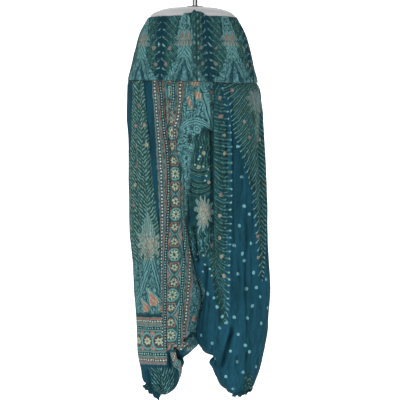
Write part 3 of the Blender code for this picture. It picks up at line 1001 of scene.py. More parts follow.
def beadGroup():
    # a stripe with a row of beads down its middle and a line along each edge
    group, (across, along, pitch, half, size), end = openGroup(
        "bead_stripe",
        [("Across", 0), ("Along", 0), ("Pitch", 3), ("Half", 1.6), ("Size", 0.85)],
        ["Bed", "Edge", "Bead"],
    )
    out = abs(across)
    bed = fall(out, half - 0.3, half + 0.3)
    edge = fall(abs(out - half - 0.5), 0.1, 0.55)
    dy = (part(along / pitch) - 0.5) * pitch
    away = length(dy, across)
    bead = fall(away, size - 0.35, size + 0.25)
    return closeGroup(group, end, Bed=bed, Edge=edge, Bead=bead)


def chainGroup():
    # round flowers and hearts in a pair of cords that cross between them
    group, (x, row, period, wide), end = openGroup(
        "flower_chain",
        [("X", 0), ("Row", 0), ("Period", 40), ("Wide", 7.6)],
        ["Cord", "CordEdge", "Ground", "Ring", "Petal", "HeartRim", "HeartSeed", "Eye", "Filler"],
    )
    y = (part(row / period) - 0.5) * period
    out = abs(x)
    swing = reckon("POWER", abs(wave(y * math.pi / period)), 0.55) * wide
    swing = swing + fall(abs(y), 3, 7) * 0.8
    cord = most(fall(abs(out - swing), 0.35, 0.85), fall(abs(out - swing - 2.0), 0.1, 0.5) * 0.6)
    cordEdge = fall(abs(out - swing), 0.9, 1.5) * (1 - cord)
    ground = fall(out - swing, -0.4, 0.4)
    away = length(x, y)
    angle = reckon("ARCTAN2", y, x)
    lobe = abs(wave(angle * 4))
    ring = fall(abs(away - 5.7), 0.45, 0.95)
    petal = fall(away + (1 - lobe) * 2.2, 4.3, 4.9) * rise(away, 1.2, 1.8) * rise(lobe, 0.25, 0.5)
    eye = fall(away, 0.5, 1.0)
    h = abs(y) - 12.9  # measured out from the middle of each heart
    heartHalf = 5.6 - abs(h + 1.4) * 0.5 - rise(h, 0.5, 5.0) * 3.0
    inHeart = fall(out - heartHalf, -0.3, 0.4) * fall(abs(h), 4.6, 5.2)
    core = fall(out - heartHalf, -1.4, -0.8) * fall(abs(h + 0.2), 3.7, 4.3)
    heartRim = inHeart * (1 - core)
    heartAway = length(x, h)
    heartLobe = abs(wave(reckon("ARCTAN2", h, x) * 3 + 0.5))
    seed = (
        fall(heartAway + (1 - heartLobe) * 2.0, 3.3, 3.9) * rise(heartAway, 0.9, 1.5)
        * rise(heartLobe, 0.2, 0.5) * core
    )
    filler = fall(abs(out - swing - 3.6), 0.9, 1.5) * fall(abs(abs(y) - 17.5), 2.2, 4.0)
    return closeGroup(
        group, end, Cord=cord, CordEdge=cordEdge, Ground=ground, Ring=ring, Petal=petal, HeartRim=heartRim,
        HeartSeed=seed, Eye=eye, Filler=filler,
    )


dyes = {
    "teal": dye(22, 67, 82),
    "tealBright": dye(25, 74, 92),
    "tealDeep": dye(14, 55, 67),
    "navy": dye(12, 50, 62),
    "green": dye(31, 67, 66),
    "greenDeep": dye(20, 51, 55),
    "barb": dye(84, 126, 116),
    "barbAqua": dye(80, 134, 134),
    "barbGold": dye(98, 120, 88),
    "aqua": dye(98, 146, 147),
    "aquaPale": dye(136, 176, 172),
    "aquaDull": dye(78, 122, 124),
    "hollow": dye(34, 70, 77),
    "rust": dye(142, 88, 72),
    "salmon": dye(154, 120, 108),
    "lilac": dye(118, 108, 114),
    "cream": dye(164, 180, 156),
    "white": dye(194, 206, 200),
    "dot": dye(112, 168, 178),
    "pinkGrey": dye(134, 128, 124),
    "column": dye(96, 114, 109),
    "columnDark": dye(52, 78, 76),
    "starGrey": dye(120, 145, 137),
}


def clothReadings(tree):
    # across and down the cloth in layout squares, from its UV map
    source = tree.nodes.new("ShaderNodeUVMap")
    source.uv_map = "cloth"
    across, down, _ = separate(tree, source.outputs[0])
    a = across * (1 / gridStep)
    r = down * (1 / gridStep) - gridTop
    # hand drawn lines waver a little
    waver = tree.nodes.new("ShaderNodeTexNoise")
    waver.noise_dimensions = "2D"
    waver.inputs["Scale"].default_value = 0.20
    waver.inputs["Detail"].default_value = 1.5
    tree.links.new(pair(a, r), waver.inputs["Vector"])
    waverA, waverR, _ = separate(tree, waver.outputs["Color"])
    return source.outputs[0], a + (waverA - 0.5) * 1.8, r + (waverR - 0.5) * 1.8


def tones(a, r, stretchA, stretchR, detail=3.0):
    # slow uneven dyeing, from 0 to 1
    tree = a.tree
    node = tree.nodes.new("ShaderNodeTexNoise")
    node.noise_dimensions = "2D"
    node.inputs["Scale"].default_value = 1.0
    node.inputs["Detail"].default_value = detail
    tree.links.new(pair(a * (1 / stretchA), r * (1 / stretchR)), node.inputs["Vector"])
    return Reading(tree, node.outputs[0])


class Print:
    # the print of one panel of cloth, laid on coat by coat
    def __init__(self, tree, panel, a, r):
        self.tree, self.panel, self.a, self.r = tree, panel, a, r
        self.colour = None

    def lay(self, cover, colour):
        self.colour = paint(self.colour, cover, colour)

    def spot(self, column, row):
        return placeOn(self.panel, column, row)

    def line(self, *places):
        found = [self.spot(column, row) for column, row in places]
        return guide(self.r, [(r, a) for a, r in found])

    def use(self, group, **values):
        return useGroup(self.tree, groups[group], **values)

    def flowers(self, places, size=2.2):
        # loose flowers: a salmon ring with a cream eye
        a, r = self.a, self.r
        out = nearest(pair(a, r), [self.spot(column, row) for column, row in places])
        out = out + (tones(a + 5, r, 1.3, 1.3, 0) - 0.5) * 1.8
        golden = rise(tones(a, r, 16, 16, 0), 0.46, 0.54)
        self.lay(fall(out, size, size + 0.7) * 0.7, "greenDeep")
        self.lay(fall(out, size - 0.8, size) * 0.85, paint("pinkGrey", golden * 0.75, "cream"))
        self.lay(band(out, size * 0.5, 0.5) * 0.35, "rust")
        self.lay(fall(out, 0.3, 0.9) * 0.5, "columnDark")

    def stripe(self, across, along, pitch, half, size, show, bed, edge, bead):
        g = self.use("bead", Across=across, Along=along, Pitch=pitch, Half=half, Size=size)
        self.lay(g["Bed"] * show, bed)
        self.lay(g["Edge"] * show * 0.8, edge)
        self.lay(g["Bead"] * show, bead)


def rightLegPrint(coat, a, r):
    lay, line, spot, use, stripe = coat.lay, coat.line, coat.spot, coat.use, coat.stripe
    coat.colour = paint("tealDeep", rise(tones(a, r, 14, 40), 0.35, 0.8), "teal")
    # the feather strip beside the column
    axis = line(
        (138.5, 82), (140, 109), (141.8, 130), (142.8, 147), (145, 167), (147, 192), (148.7, 215),
        (149.4, 243), (151, 262), (152, 300),
    )
    stripLeft = line((132.5, 82), (132, 120), (130.4, 150), (128.5, 180), (127.5, 200))
    stripRight = line(
        (143.8, 82), (147, 117), (150.5, 150), (153, 180), (156, 205), (160, 228), (163, 240), (163, 300)
    )
    inStrip = rise(a - stripLeft, -1.5, 1) * fall(a - stripRight, -0.6, 0.6)
    inStrip = most(inStrip, rise(r, 176, 196) * fall(a - stripRight, -0.6, 0.6)) * fall(r, 311, 314)
    shade = tones(a, r, 5, 9, 2)
    ground = paint("greenDeep", rise(shade, 0.42, 0.75), "green")
    lay(inStrip, ground)
    barbs = use(
        "barbs", Across=a - axis, Row=r + (shade - 0.5) * 3, Spacing=4.2, Drop=-1.0, Span=34, Thick=0.2
    )
    golden = rise(tones(a, r, 6, 10, 1), 0.56, 0.68)
    barbDye = paint("barb", golden, "barbGold")
    broken = 0.35 + rise(tones(a + 9, r, 2.6, 4.5, 1), 0.38, 0.55) * 0.65
    lay(barbs["Line"] * inStrip * broken, paint(barbDye, broken * 0.35, "aquaPale"))
    fine = use("barbs", Across=a - axis, Row=r + 2.1, Spacing=4.2, Drop=-1.0, Span=34, Thick=0.12)
    lay(fine["Line"] * inStrip * 0.18, "barbAqua")
    # the long bud, its pointed flower and the scroll work under it
    flowerX, flowerR = spot(149.4, 243.8)
    x = a - flowerX
    y = r - flowerR
    budHalf = rise(r, 203, 240) * 9.0
    bud = fall(abs(x + 0.6) - budHalf + wave(r * 1.1) * 0.5, -0.5, 0.5) * within(r, 204, 242)
    budVeins = fall(abs(fold(x + y * 0.15, 2.4)), 0.3, 0.8)
    lay(bud * 0.92, paint("aquaDull", budVeins, "starGrey"))
    underFlower = line((151.5, 258), (147.5, 270), (143.5, 282), (139.5, 294), (135.5, 307))
    body = rise(a - underFlower, -3, -1.5) * within(r, 259, 312.5) * fall(a, 0.3, 1.0)
    outer = (
        rise(r - 262 + (a + 40) * 0.35, -2, 6) * rise(r, 258, 262) * fall(a, 0.3, 1.0)
        * fall(r, 311.5, 312.5)
    )
    scroll = use("scroll", X=a, Y=r, Size=6.0)
    scrollDye = coats(
        "hollow",
        (scroll["Scroll"], "aqua"),
        (scroll["Hollow"] * 0.7, "tealDeep"),
    )
    lay(most(body, outer) * 0.85, scrollDye)
    vee = abs(a - underFlower)
    veeShow = within(r, 258, 312.5)
    lay(fall(vee, 4.6, 5.2) * veeShow, "hollow")
    lay(fall(vee, 3.6, 4.2) * veeShow * 0.95, "aqua")
    lay(fall(abs(vee - 1.8), 0.3, 0.9) * veeShow, "hollow")
    arm = abs(a - line((152.4, 258), (155, 268), (158.6, 281), (161, 290)))
    armShow = within(r, 260, 289) * fall(a, 0.3, 1.0)
    lay(fall(arm, 2.8, 3.4) * armShow, "hollow")
    lay(fall(arm, 1.9, 2.4) * armShow * 0.9, "aqua")
    lay(fall(arm, 0.3, 0.8) * armShow, "hollow")
    star = use("star", X=x * 0.86 + 0.8, Y=y * 0.86 - 1, Size=14.5, Points=10, Ragged=0.22)
    starShow = star["Star"] * fall(a, 0.0, 0.6)
    starDye = paint("starGrey", star["Veins"] * 0.6, "aquaDull")
    mottle = tones(a, r, 2.0, 2.0, 0)
    starDye = paint(starDye, rise(mottle, 0.52, 0.62) * 0.7, "pinkGrey")
    starDye = paint(
        starDye,
        fall(abs(x) + abs(y - 1) * 0.8, 7.0, 10.0) * rise(tones(a + 30, r, 2.2, 1.7, 0), 0.50, 0.60) * 0.8,
        "salmon",
    )
    starDye = paint(starDye, fall(tones(a + 50, r, 1.5, 2.2, 0), 0.38, 0.48) * 0.6, "columnDark")
    starDye = paint(starDye, rise(tones(a + 60, r, 1.3, 2.2, 0), 0.54, 0.62) * 0.5, "cream")
    lay(starShow * 0.95, starDye)
    # two paisleys, each a round body with a tip that curls over, in an aqua outline
    for column, row, size in ((154.0, 299.5, 1.05), (146.2, 307, 0.85), (162.0, 308.5, 0.5)):
        px, pr = spot(column, row)
        ux, uy = (a - px) * (1 / size), (r - pr) * (1 / size)
        up = rise(uy * -1, -2.0, 11.0)
        ux = ux + up * up * 6.5
        half = 5.0 * (1 - up) + 0.3
        round = fall(uy, 1.5, 6.0)
        out = abs(ux) - half * (0.25 + round * 0.75)
        show = within(uy, -11.5, 5.2, 0.5)
        lay(fall(out, 2.6, 3.2) * within(uy, -13, 7, 0.5), "hollow")
        lay(fall(abs(out - 1.4), 0.5, 1.0) * within(uy, -12.5, 6.4, 0.5), "aqua")
        lay(fall(out, -0.2, 0.4) * show, "cream")
        lay(fall(out, -0.9, -0.3) * show, "salmon")
        dots = abs(fold(ux + 0.6, 2.0)) + abs(fold(uy, 2.4))
        lay(fall(dots, 0.5, 1.0) * fall(out, -1.0, -0.5) * show * 0.7, "rust")
        lay(fall(abs(uy - ux), 0.5, 1.2) * fall(out, -1.2, -0.6) * show * 0.5, "cream")
    # loose flowers on the feathers
    coat.flowers([
        (139.3, 106.5), (136.3, 126.4), (144.8, 126), (136.9, 146), (147, 145.5),
        (137, 166.5), (135.4, 185), (133.8, 205.5), (131, 228),
    ], 2.5)
    # the border across the leg
    inBorder = within(r, 313.8, 363.6, 0.4) * fall(a, 4.4, 5.0)
    beside = coat.colour
    lay(inBorder, "column")
    lay(band(r, 315, 1.1), "tealDeep")
    lay(band(r, 317.4, 0.7) * 0.8, "rust")
    stripe(r - 320.3, a, 2.7, 1.4, 0.80, 1.0, "columnDark", "salmon", "white")
    stripe(r - 327, a, 2.7, 1.6, 0.75, 1.0, "greenDeep", "aqua", "aquaPale")
    # medallions side by side between arches
    lay(band(r, 340, 9.4), "columnDark")
    medals = [spot(column, 340)[0] for column in (130.5, 139.3, 147.6, 159.6)]
    mx = a - medals[0]
    for here, there in zip(medals, medals[1:]):
        mx = mx - reckon("GREATER_THAN", a, (here + there) / 2) * (there - here)
    medal = use("bloom", X=mx * 0.86, Y=r - 340, Size=5.2, Petals=7)
    round = reckon("SQRT", mx * mx + (r - 340) * (r - 340) * 0.72)
    corner = fall(abs(mx) * -1, -5.4, -3.6) * rise(abs(r - 340), 5.2, 6.2)
    lay(corner * band(r, 340, 9.2), "salmon")
    lay(fall(abs(round - 6.6), 0.5, 1.1) * band(r, 340, 9.2), "aqua")
    lay(medal["Disc"], "greenDeep")
    lay(medal["Rim"] * 0.75, "rust")
    lay(medal["Petal"], "cream")
    lay(medal["Eye"], "rust")
    stripe(r - 353, a, 2.7, 1.5, 0.80, 1.0, "greenDeep", "aqua", "aquaPale")
    stripe(r - 359, a, 2.7, 1.3, 0.75, 1.0, "columnDark", "rust", "white")
    scallop = fall(r - 362.0 - abs(wave(a * 0.75)) * 1.4, -0.3, 0.5) * rise(r, 360.8, 361.4)
    lay(scallop * 0.8, "lilac")
    coat.colour = paint(beside, fall(a, 4.4, 5.0), coat.colour)
    # the end of the border down the leg, folded over on the slant
    slantAxis = line((173.5, 348), (176, 356), (178, 366), (179, 380), (178, 390))
    slantOut = a - slantAxis
    slantShow = fall(abs(slantOut), 5.2, 5.8) * within(r, 351, 383, 1.5)
    lay(fall(abs(slantOut), 9.5, 10.5) * rise(r, 350, 351) * fall(r, 368, 374), "navy")
    lay(slantShow, "column")
    tilt = slantOut * 0.75 + (r - 366) * 0.62
    beadDyes = (("columnDark", "rust", "white"), ("greenDeep", "aqua", "aquaPale"))
    for k in range(4):
        stripe(tilt - (6 * k - 7.5), r - a, 3.0, 1.2, 0.8, slantShow, *beadDyes[k % 2])

    # the border down the leg, between its own edge and the centre seam
    columnShow = rise(a, -0.2, 0.4) * fall(r, 348, 349)
    grain = tones(a, r, 2.2, 3.2, 2)
    ground = paint("columnDark", rise(grain, 0.35, 0.65), "column")
    lay(columnShow, ground)
    chainAxis = line(
        (171, 82), (172.5, 130), (172.5, 153), (175.6, 174), (175.6, 195), (176, 215), (175, 235),
        (174.7, 256), (174.4, 276), (172.5, 295), (171, 313.4), (171, 333.8), (170.5, 360),
    )
    squeeze = 1 + fall(r, 108, 136) * 1.1
    chain = use("chain", X=(a - chainAxis) * squeeze, Row=r - 154, Period=40, Wide=8.3)
    chainShow = columnShow * fall(r, 342.5, 343.5)
    lay(chain["Ground"] * chainShow, "columnDark")
    lay(chain["Filler"] * chainShow * 0.8, "salmon")
    lay(chain["CordEdge"] * chainShow, "tealDeep")
    lay(chain["Cord"] * chainShow, "aqua")
    lay(chain["Ring"] * chainShow, "aqua")
    patchy = rise(tones(a + 15, r, 1.7, 1.7, 0), 0.40, 0.56)
    rim = paint("salmon", patchy, "rust")
    lay(chain["HeartRim"] * chainShow, rim)
    lay(chain["HeartSeed"] * chainShow * 0.95, "cream")
    lay(chain["Petal"] * chainShow * 0.95, "cream")
    lay(chain["Eye"] * chainShow * 0.8, paint("rust", patchy, "columnDark"))
    lay(fall(abs(fold(a + r * 0.6, 6.5)), 0.8, 1.5) * columnShow * rise(r, 343, 344), "salmon")
    leftBeads = line(
        (155, 82), (157.5, 117), (160, 149), (161.8, 178), (162.5, 200), (162.6, 228), (162, 255),
        (161.8, 300), (162.3, 330),
    )
    leftGreen = line(
        (161, 82), (163.2, 117), (166, 140), (168.4, 160), (168.6, 200), (168, 228), (166.4, 250),
        (165.5, 280), (165.5, 330),
    )
    rightGreen = line(
        (175.6, 82), (174, 100), (173, 112), (181, 200), (185, 226), (185, 244), (183, 272), (182, 288),
        (181, 306), (179.7, 322), (179, 345),
    )
    rightBeads = line(
        (182, 83), (180.3, 101), (177.8, 122), (175, 137), (180, 200), (189.4, 250), (190, 262.5),
        (188.4, 287.5), (187.5, 300), (185.6, 318), (184.4, 336), (183, 352),
    )
    greenShow = most(fall(r, 110, 114), rise(r, 222, 227)) * columnShow
    beadShow = most(fall(r, 138, 141), rise(r, 244, 249)) * columnShow
    stripe(a - leftGreen, r, 2.6, 1.7, 0.70, columnShow, "greenDeep", "rust", "aquaPale")
    stripe(a - leftBeads, r + 1, 3.3, 1.6, 0.78, columnShow, "columnDark", "lilac", "white")
    stripe(a - rightGreen, r, 2.6, 1.6, 0.75, greenShow, "greenDeep", "aquaDull", "aquaPale")
    stripe(a - rightBeads, r, 3.3, 1.6, 0.78, beadShow, "columnDark", "rust", "white")
    # scroll work between the beads and the centre seam, low on the leg
    beyond = rise(a - rightBeads, 3.0, 3.8) * within(r, 256, 351, 2)
    blots = rise(tones(a + 80, r, 2.6, 4, 1), 0.44, 0.58)
    lay(beyond, paint(scrollDye, blots * 0.55, "hollow"))
    lay(fall(abs(a - rightBeads - 3.6), 0.3, 0.9) * within(r, 256, 345, 2), "lilac")
    stripe(
        r - 344 - (a - rightBeads) * 0.3, a, 2.8, 1.2, 0.75, beyond * rise(r, 338, 340), "columnDark",
        "lilac", "aquaPale",
    )
    px, pr = spot(194, 318)
    away = reach(pair(a, r), (px, pr))
    lay(fall(away, 2.4, 3.2), "salmon")
    lay(fall(away, 1.0, 1.6), "rust")
    # under the border: plain dye with feathers towards the inner side
    lowAxis = line((160, 364), (163, 374), (164, 386), (163, 398))
    lower = rise(r, 366, 367)
    lowBarbs = use(
        "barbs", Across=a - lowAxis, Row=r, Spacing=5.2, Drop=-2.1, Curl=-0.03, Span=17, Thick=0.13, Vary=6
    )
    lowGround = fall(abs(a - lowAxis), 10, 17) * lower
    patchy = 0.25 + rise(tones(a + 9, r, 3, 4, 1), 0.36, 0.56) * 0.75
    lay(lowGround * 0.9, "greenDeep")
    lay(lowBarbs["Line"] * lower * patchy, paint("barb", patchy, "aqua"))
    lay(lowBarbs["Bead"] * lower * patchy, "aqua")


def leftLegPrint(coat, a, r):
    lay, line, spot, use = coat.lay, coat.line, coat.spot, coat.use
    coat.colour = paint("tealDeep", rise(tones(a, r, 11, 60), 0.25, 0.70), "tealBright")
    # the wide tassel that starts at the fold
    quill = line(
        (213.5, 84), (213.5, 160), (213.5, 235), (215, 252), (218.7, 274), (222, 300), (225, 318),
        (226, 330),
    )
    tips = line(
        (222, 84), (226, 105), (230, 125), (231.5, 150), (231.5, 200), (230, 250), (229, 290), (228, 312),
        (226.5, 326),
    )
    span = tips - quill
    along = a - quill
    tassel = rise(along, -1, 0.5) * fall(along - span, -6.5, -2.5) * fall(r, 318, 324)
    inner = rise(along * -1, -1, 0.5) * fall(along * -1 - 8, -1.5, 0.5) * within(r, 236, 322, 3)
    shade = tones(a, r, 5, 8, 2)
    ground = paint("greenDeep", rise(shade, 0.42, 0.75), "green")
    deepen = rise(tones(a, r, 9, 16, 1), 0.50, 0.66)
    ground = paint(ground, deepen * 0.7, "tealDeep")
    lay(most(tassel, inner), ground)
    drop = 0.35 + rise(r, 148, 190) * 1.3
    curl = 0.012 + rise(r, 148, 190) * 0.060
    barbs = use(
        "barbs", Across=along, Row=r, Spacing=6.9, Drop=drop, Curl=curl, Span=span, Thick=0.075, Vary=1.5
    )
    fine = use(
        "barbs", Across=along, Row=r + 3.0, Spacing=6.9, Drop=drop, Curl=curl, Span=span - 4, Thick=0.07,
        Vary=4.0,
    )
    show = rise(along, -0.5, 0.5) * fall(r, 316, 322) * (0.25 + rise(r, 98, 108) * 0.75)
    innerShow = inner * 0.9
    golden = rise(tones(a, r, 5, 9, 1), 0.54, 0.66)
    barbDye = paint("barbAqua", golden, "barbGold")
    broken = 0.30 + rise(tones(a + 9, r, 3.4, 2.6, 1), 0.40, 0.56) * 0.60
    nearTip = rise(along - span, -9, -3)
    lay(fine["Line"] * show * broken * 0.6, barbDye)
    lay(barbs["Line"] * most(show, innerShow) * most(broken, nearTip * 0.85), barbDye)
    lay(fine["Line"] * innerShow * broken, barbDye)
    steep = use(
        "barbs", Across=along - 26, Row=r, Spacing=8.0, Drop=2.4, Curl=0.01, Span=26, Thick=0.10, Vary=2
    )
    lay(steep["Line"] * tassel * fall(r, 94, 106) * broken * 0.9, barbDye)
    lay(barbs["Bead"] * show, "aquaPale")
    lay(fine["Bead"] * show * 0.6, "aqua")

    # the narrow tassel near the side, under its flower
    quill = line((258, 84), (257, 111), (257, 142), (258.5, 170), (259.5, 200), (261, 240), (262, 280))
    tips = line(
        (221, 84), (225, 95), (229, 106), (231.5, 118), (235, 135), (239.5, 147), (244, 162), (248, 179),
        (251, 190), (253, 200), (256, 235), (259.5, 276),
    )
    outerTips = line((266, 84), (266, 200), (265, 240), (263, 280))
    span, outSpan = quill - tips, outerTips - quill
    along = a - quill
    onLeft = rise(along * -1, -0.5, 0.5)
    side = (
        fall(along * -1 - span, -2, 0.3) * onLeft + fall(along - outSpan, -1, 0.5) * rise(along, -0.5, 0.5)
    )
    side = least(side, 1.0) * fall(r, 278, 282)
    lay(side * fall(r, 285, 290), ground)
    drop = 3.1 - rise(r, 110, 160) * 1.2 - rise(r, 160, 230) * 0.8
    curl = 0.026 - rise(r, 110, 180) * 0.012
    barbs = use(
        "barbs", Across=along, Row=r, Spacing=9.0, Drop=drop, Curl=curl, Span=span + 1.5, Thick=0.085,
        Vary=3.0,
    )
    fine = use(
        "barbs", Across=along, Row=r + 4.4, Spacing=9.0, Drop=drop, Curl=curl, Span=span - 2, Thick=0.075,
        Vary=6.0,
    )
    outer = use(
        "barbs", Across=along, Row=r, Spacing=5.0, Drop=0.9, Curl=0.03, Span=outSpan, Thick=0.14, Vary=2.0
    )
    leftShow, rightShow = onLeft * fall(r, 278, 282), rise(along, -0.5, 0.5) * fall(r, 278, 282)
    lay(fine["Line"] * leftShow * most(broken, 0.5), "barb")
    lay(barbs["Line"] * leftShow * most(broken, 0.75), paint(barbDye, broken * 0.4, "aquaPale"))
    lay(barbs["Bead"] * leftShow * 0.9, "aquaPale")
    lay(fine["Bead"] * leftShow * 0.5, "aqua")
    lay(outer["Line"] * rightShow * broken, barbDye)
    lay(outer["Bead"] * rightShow * 0.8, "aquaPale")
    pale = fall(abs(along), 1.0, 5.5) * within(r, 78, 140, 14) * (0.35 + broken)
    lay(pale * 0.5, "starGrey")
    fx, fr = spot(256.3, 102)
    x, y = a - fx, r - fr
    star = use("star", X=x * 0.62, Y=y * 0.9, Size=11.5, Points=11)
    starDye = coats(
        "aquaDull",
        (rise(tones(a, r, 1.6, 1.6, 0), 0.46, 0.58), "pinkGrey"),
        (star["Veins"] * 0.6, "column"),
    )
    lay(star["Star"] * 0.8, starDye)

    # the cloth between the centre seam and the fold
    foldLine = line(
        (212.6, 82), (212.4, 160), (212.8, 200), (213, 235), (212, 250), (208, 262), (206, 278),
        (204.5, 294), (203, 305),
    )
    centre = fall(a - foldLine, -0.5, 0.5) * fall(r, 300, 306)
    lay(centre, ground)
    scroll = use("scroll", X=a, Y=r, Size=5.6)
    scrollDye = coats(
        "hollow",
        (scroll["Scroll"], "aqua"),
        (scroll["Hollow"] * 0.7, "tealDeep"),
    )
    archX, archR = spot(196, 128)
    x, y = a - archX, r - archR
    upper = centre * fall(r, 119, 121)
    sideScroll = line(
        (203, 119), (204, 122), (193, 140), (192, 160), (190, 185), (188, 206), (186, 230), (186, 240)
    )
    lowerScroll = centre * rise(r, 118, 120) * fall(a - sideScroll, -1.5, 1.5)
    lay(most(upper, lowerScroll) * fall(r, 226, 240), scrollDye)
    arch = y + 6.0 - x * x * 0.030
    lay(fall(abs(arch), 2.6, 3.3) * centre * fall(abs(x), 15, 17), "aqua")
    lay(fall(abs(abs(arch) - 1.3), 0.2, 0.7) * centre * fall(abs(x), 15, 17), "hollow")
    slant = line((202.5, 96), (207, 112), (212, 129), (214, 135))
    slantShow = within(r, 95, 132) * centre
    lay(fall(abs(a - slant), 2.4, 3.0) * slantShow, "aqua")
    lay(fall(abs(a - slant), 0.5, 1.0) * slantShow, "hollow")
    rx, rr = spot(197, 130.6)
    ringOut = reach(pair(a, r), (rx, rr))
    lay(fall(ringOut, 4.2, 4.8), "hollow")
    lay(fall(abs(ringOut - 3.0), 0.5, 1.1), "aqua")
    lay(fall(ringOut, 1.0, 1.6), "aqua")
    # salmon leaves near the waist
    for column, row, w, h, lean in (
        (195, 85.5, 6.0, 3.6, 0.0), (197.5, 97, 5.5, 5.0, -0.4), (189.6, 104, 2.4, 8.0, -0.34)
    ):
        lx, lr = spot(column, row)
        ux, uy = a - lx, r - lr
        ux = ux + uy * lean
        out = reckon("SQRT", ux * ux * (1 / (w * w)) + uy * uy * (1 / (h * h)))
        flutter = abs(wave(uy * 0.9 + ux * 0.5))
        out = out + flutter * 0.25
        lay(fall(out, 1.05, 1.2), "barb")
        lay(fall(out, 0.85, 1.0) * 0.85, "salmon")
        lay(fall(out, 0.8, 0.95) * rise(wave(ux * 1.6 - uy * 2.3), 0.0, 0.5), "rust")
        lay(fall(out, 0.8, 0.95) * rise(wave(ux * 2.1 + uy * 1.1), 0.55, 0.85), "cream")
    # hanging threads, then sagging bands
    wander = tones(a, r, 5, 9, 1)
    threads = (
        fall(abs(fold(x + y * 0.04 + (wander - 0.5) * 5, 3.0)), 0.2, 0.55) * within(r, 134, 168, 2) * centre
        * (1 - lowerScroll)
    )
    lay(threads * broken * 0.8, "barb")
    sag = r - 181 + (a - spot(201, 181)[0]) * (a - spot(201, 181)[0]) * 0.032
    bands = (
        fall(abs(abs(fold(sag, 5.4)) - 0.9), 0.2, 0.6) * within(r, 166, 196, 1.5) * centre
        * (1 - lowerScroll)
    )
    lay(bands * most(broken, 0.6) * 0.8, "barb")
    lay(
        fall(abs(sag + 2.0), 1.0, 1.8) * centre * (1 - lowerScroll) * within(r, 166, 196, 1.5), "tealBright"
    )
    # the hanging flower
    fx, fr = spot(204, 213)
    x, y = a - fx, r - fr
    star = use("star", X=x, Y=y * 0.58, Size=11.0, Points=13)
    starShow = star["Star"] * centre
    starDye = paint("starGrey", fall(abs(fold(x + y * 0.3, 2.2)), 0.3, 0.7) * 0.7, "aquaDull")
    speckle = rise(tones(a, r, 1.8, 1.8, 0), 0.48, 0.58)
    starDye = paint(starDye, fall(abs(x) + abs(y) * 0.5, 6.0, 9.0) * speckle * 0.8, "salmon")
    starDye = paint(
        starDye,
        fall(abs(x) + abs(y) * 0.5, 4.0, 8.0) * rise(tones(a + 40, r, 1.6, 1.6, 0), 0.54, 0.62) * 0.8,
        "cream",
    )
    lay(starShow * 0.9, starDye)
    hanging = fall(abs(fold(x + (wander - 0.5) * 9, 2.8)), 0.3, 0.7) * within(r, 229, 256, 5) * centre
    lay(hanging * broken, "barbAqua")
    lay(rise(r, 252, 262) * centre, "teal")
    green = fall(reach(pair(a, r * 0.62), (spot(200, 286)[0], 286 * 0.62)), 5.0, 6.5)
    barbs = use("barbs", Across=a - spot(204, 280)[0], Row=r, Spacing=3.4, Drop=0.6, Span=14, Thick=0.2)
    lay(green * centre, "greenDeep")
    lay(green * centre * barbs["Line"] * 0.7, "barb")
    # the scroll work that shows under the column's edge
    crestAxis = line((200, 282), (205, 292), (202.5, 301), (199.5, 314), (197.5, 325), (193.5, 337))
    low = fall(a - crestAxis, -0.6, 0.6) * within(r, 284, 338, 1)
    lay(low, scrollDye)
    # beads at the ends of the threads, and dots on the plain dye
    ends = [
        (201, 148), (199.7, 157), (198.8, 160), (195, 165), (203, 167), (208.4, 170), (206, 176),
        (204.7, 181), (198, 242), (197.8, 254), (196.3, 259), (199.7, 258), (203.4, 254.7), (205, 264),
        (202.8, 271), (209.4, 268.4), (211.6, 275),
    ]
    out = nearest(pair(a, r), [spot(c, w) for c, w in ends])
    lay(fall(out, 0.7, 1.3), "aquaPale")
    dots = [
        (237.5, 147), (241, 177), (243.8, 206), (248.8, 214), (238.8, 225.6), (250.6, 243), (234, 245),
        (242, 253), (243.8, 260), (237.5, 273), (253, 272), (265.6, 279), (256, 287), (246, 288),
        (208, 293), (213.7, 297), (260, 296), (252, 305), (267.5, 307.5), (217, 306), (222, 315.6),
        (233.8, 316), (247, 317), (226, 321.6), (261, 322.5), (219.4, 326.5), (238, 333), (201, 334.4),
        (212, 342), (245, 344), (230, 350), (249, 350.6), (215, 358), (237, 360.6), (255.6, 366),
        (243, 371), (225.6, 375.6), (233, 387.5),
    ]
    out = nearest(pair(a, r), [spot(c, w) for c, w in dots])
    lay(fall(out, 1.2, 2.0), "dot")
    lay(fall(out, 0.2, 0.8) * 0.5, "aquaDull")
    coat.flowers([
        (231.6, 91.6), (211, 93.8), (220, 99.7), (220.6, 118), (224, 136), (224.7, 154), (220.6, 195),
        (219.7, 215.6), (219.4, 237.5), (211.6, 244.4), (221, 256), (223.8, 275), (244, 123), (249, 138),
        (259, 140), (204, 154), (198.4, 167.5), (208.8, 182.5), (257.5, 236), (258, 257),
    ])
    # a feather at the cuff
    lowAxis = line((252, 366), (249, 378), (247, 392))
    lowBarbs = use("barbs", Across=a - lowAxis, Row=r, Spacing=4.2, Drop=0.8, Span=9, Thick=0.2)
    patchy = rise(tones(a + 9, r, 3, 4, 1), 0.36, 0.56)
    lower = fall(reach(pair((a - lowAxis), (r - 384) * 0.5)), 4.5, 7.5)
    lay(lower * 0.9, "greenDeep")
    lay(lowBarbs["Line"] * lower * patchy * 0.45, "barb")


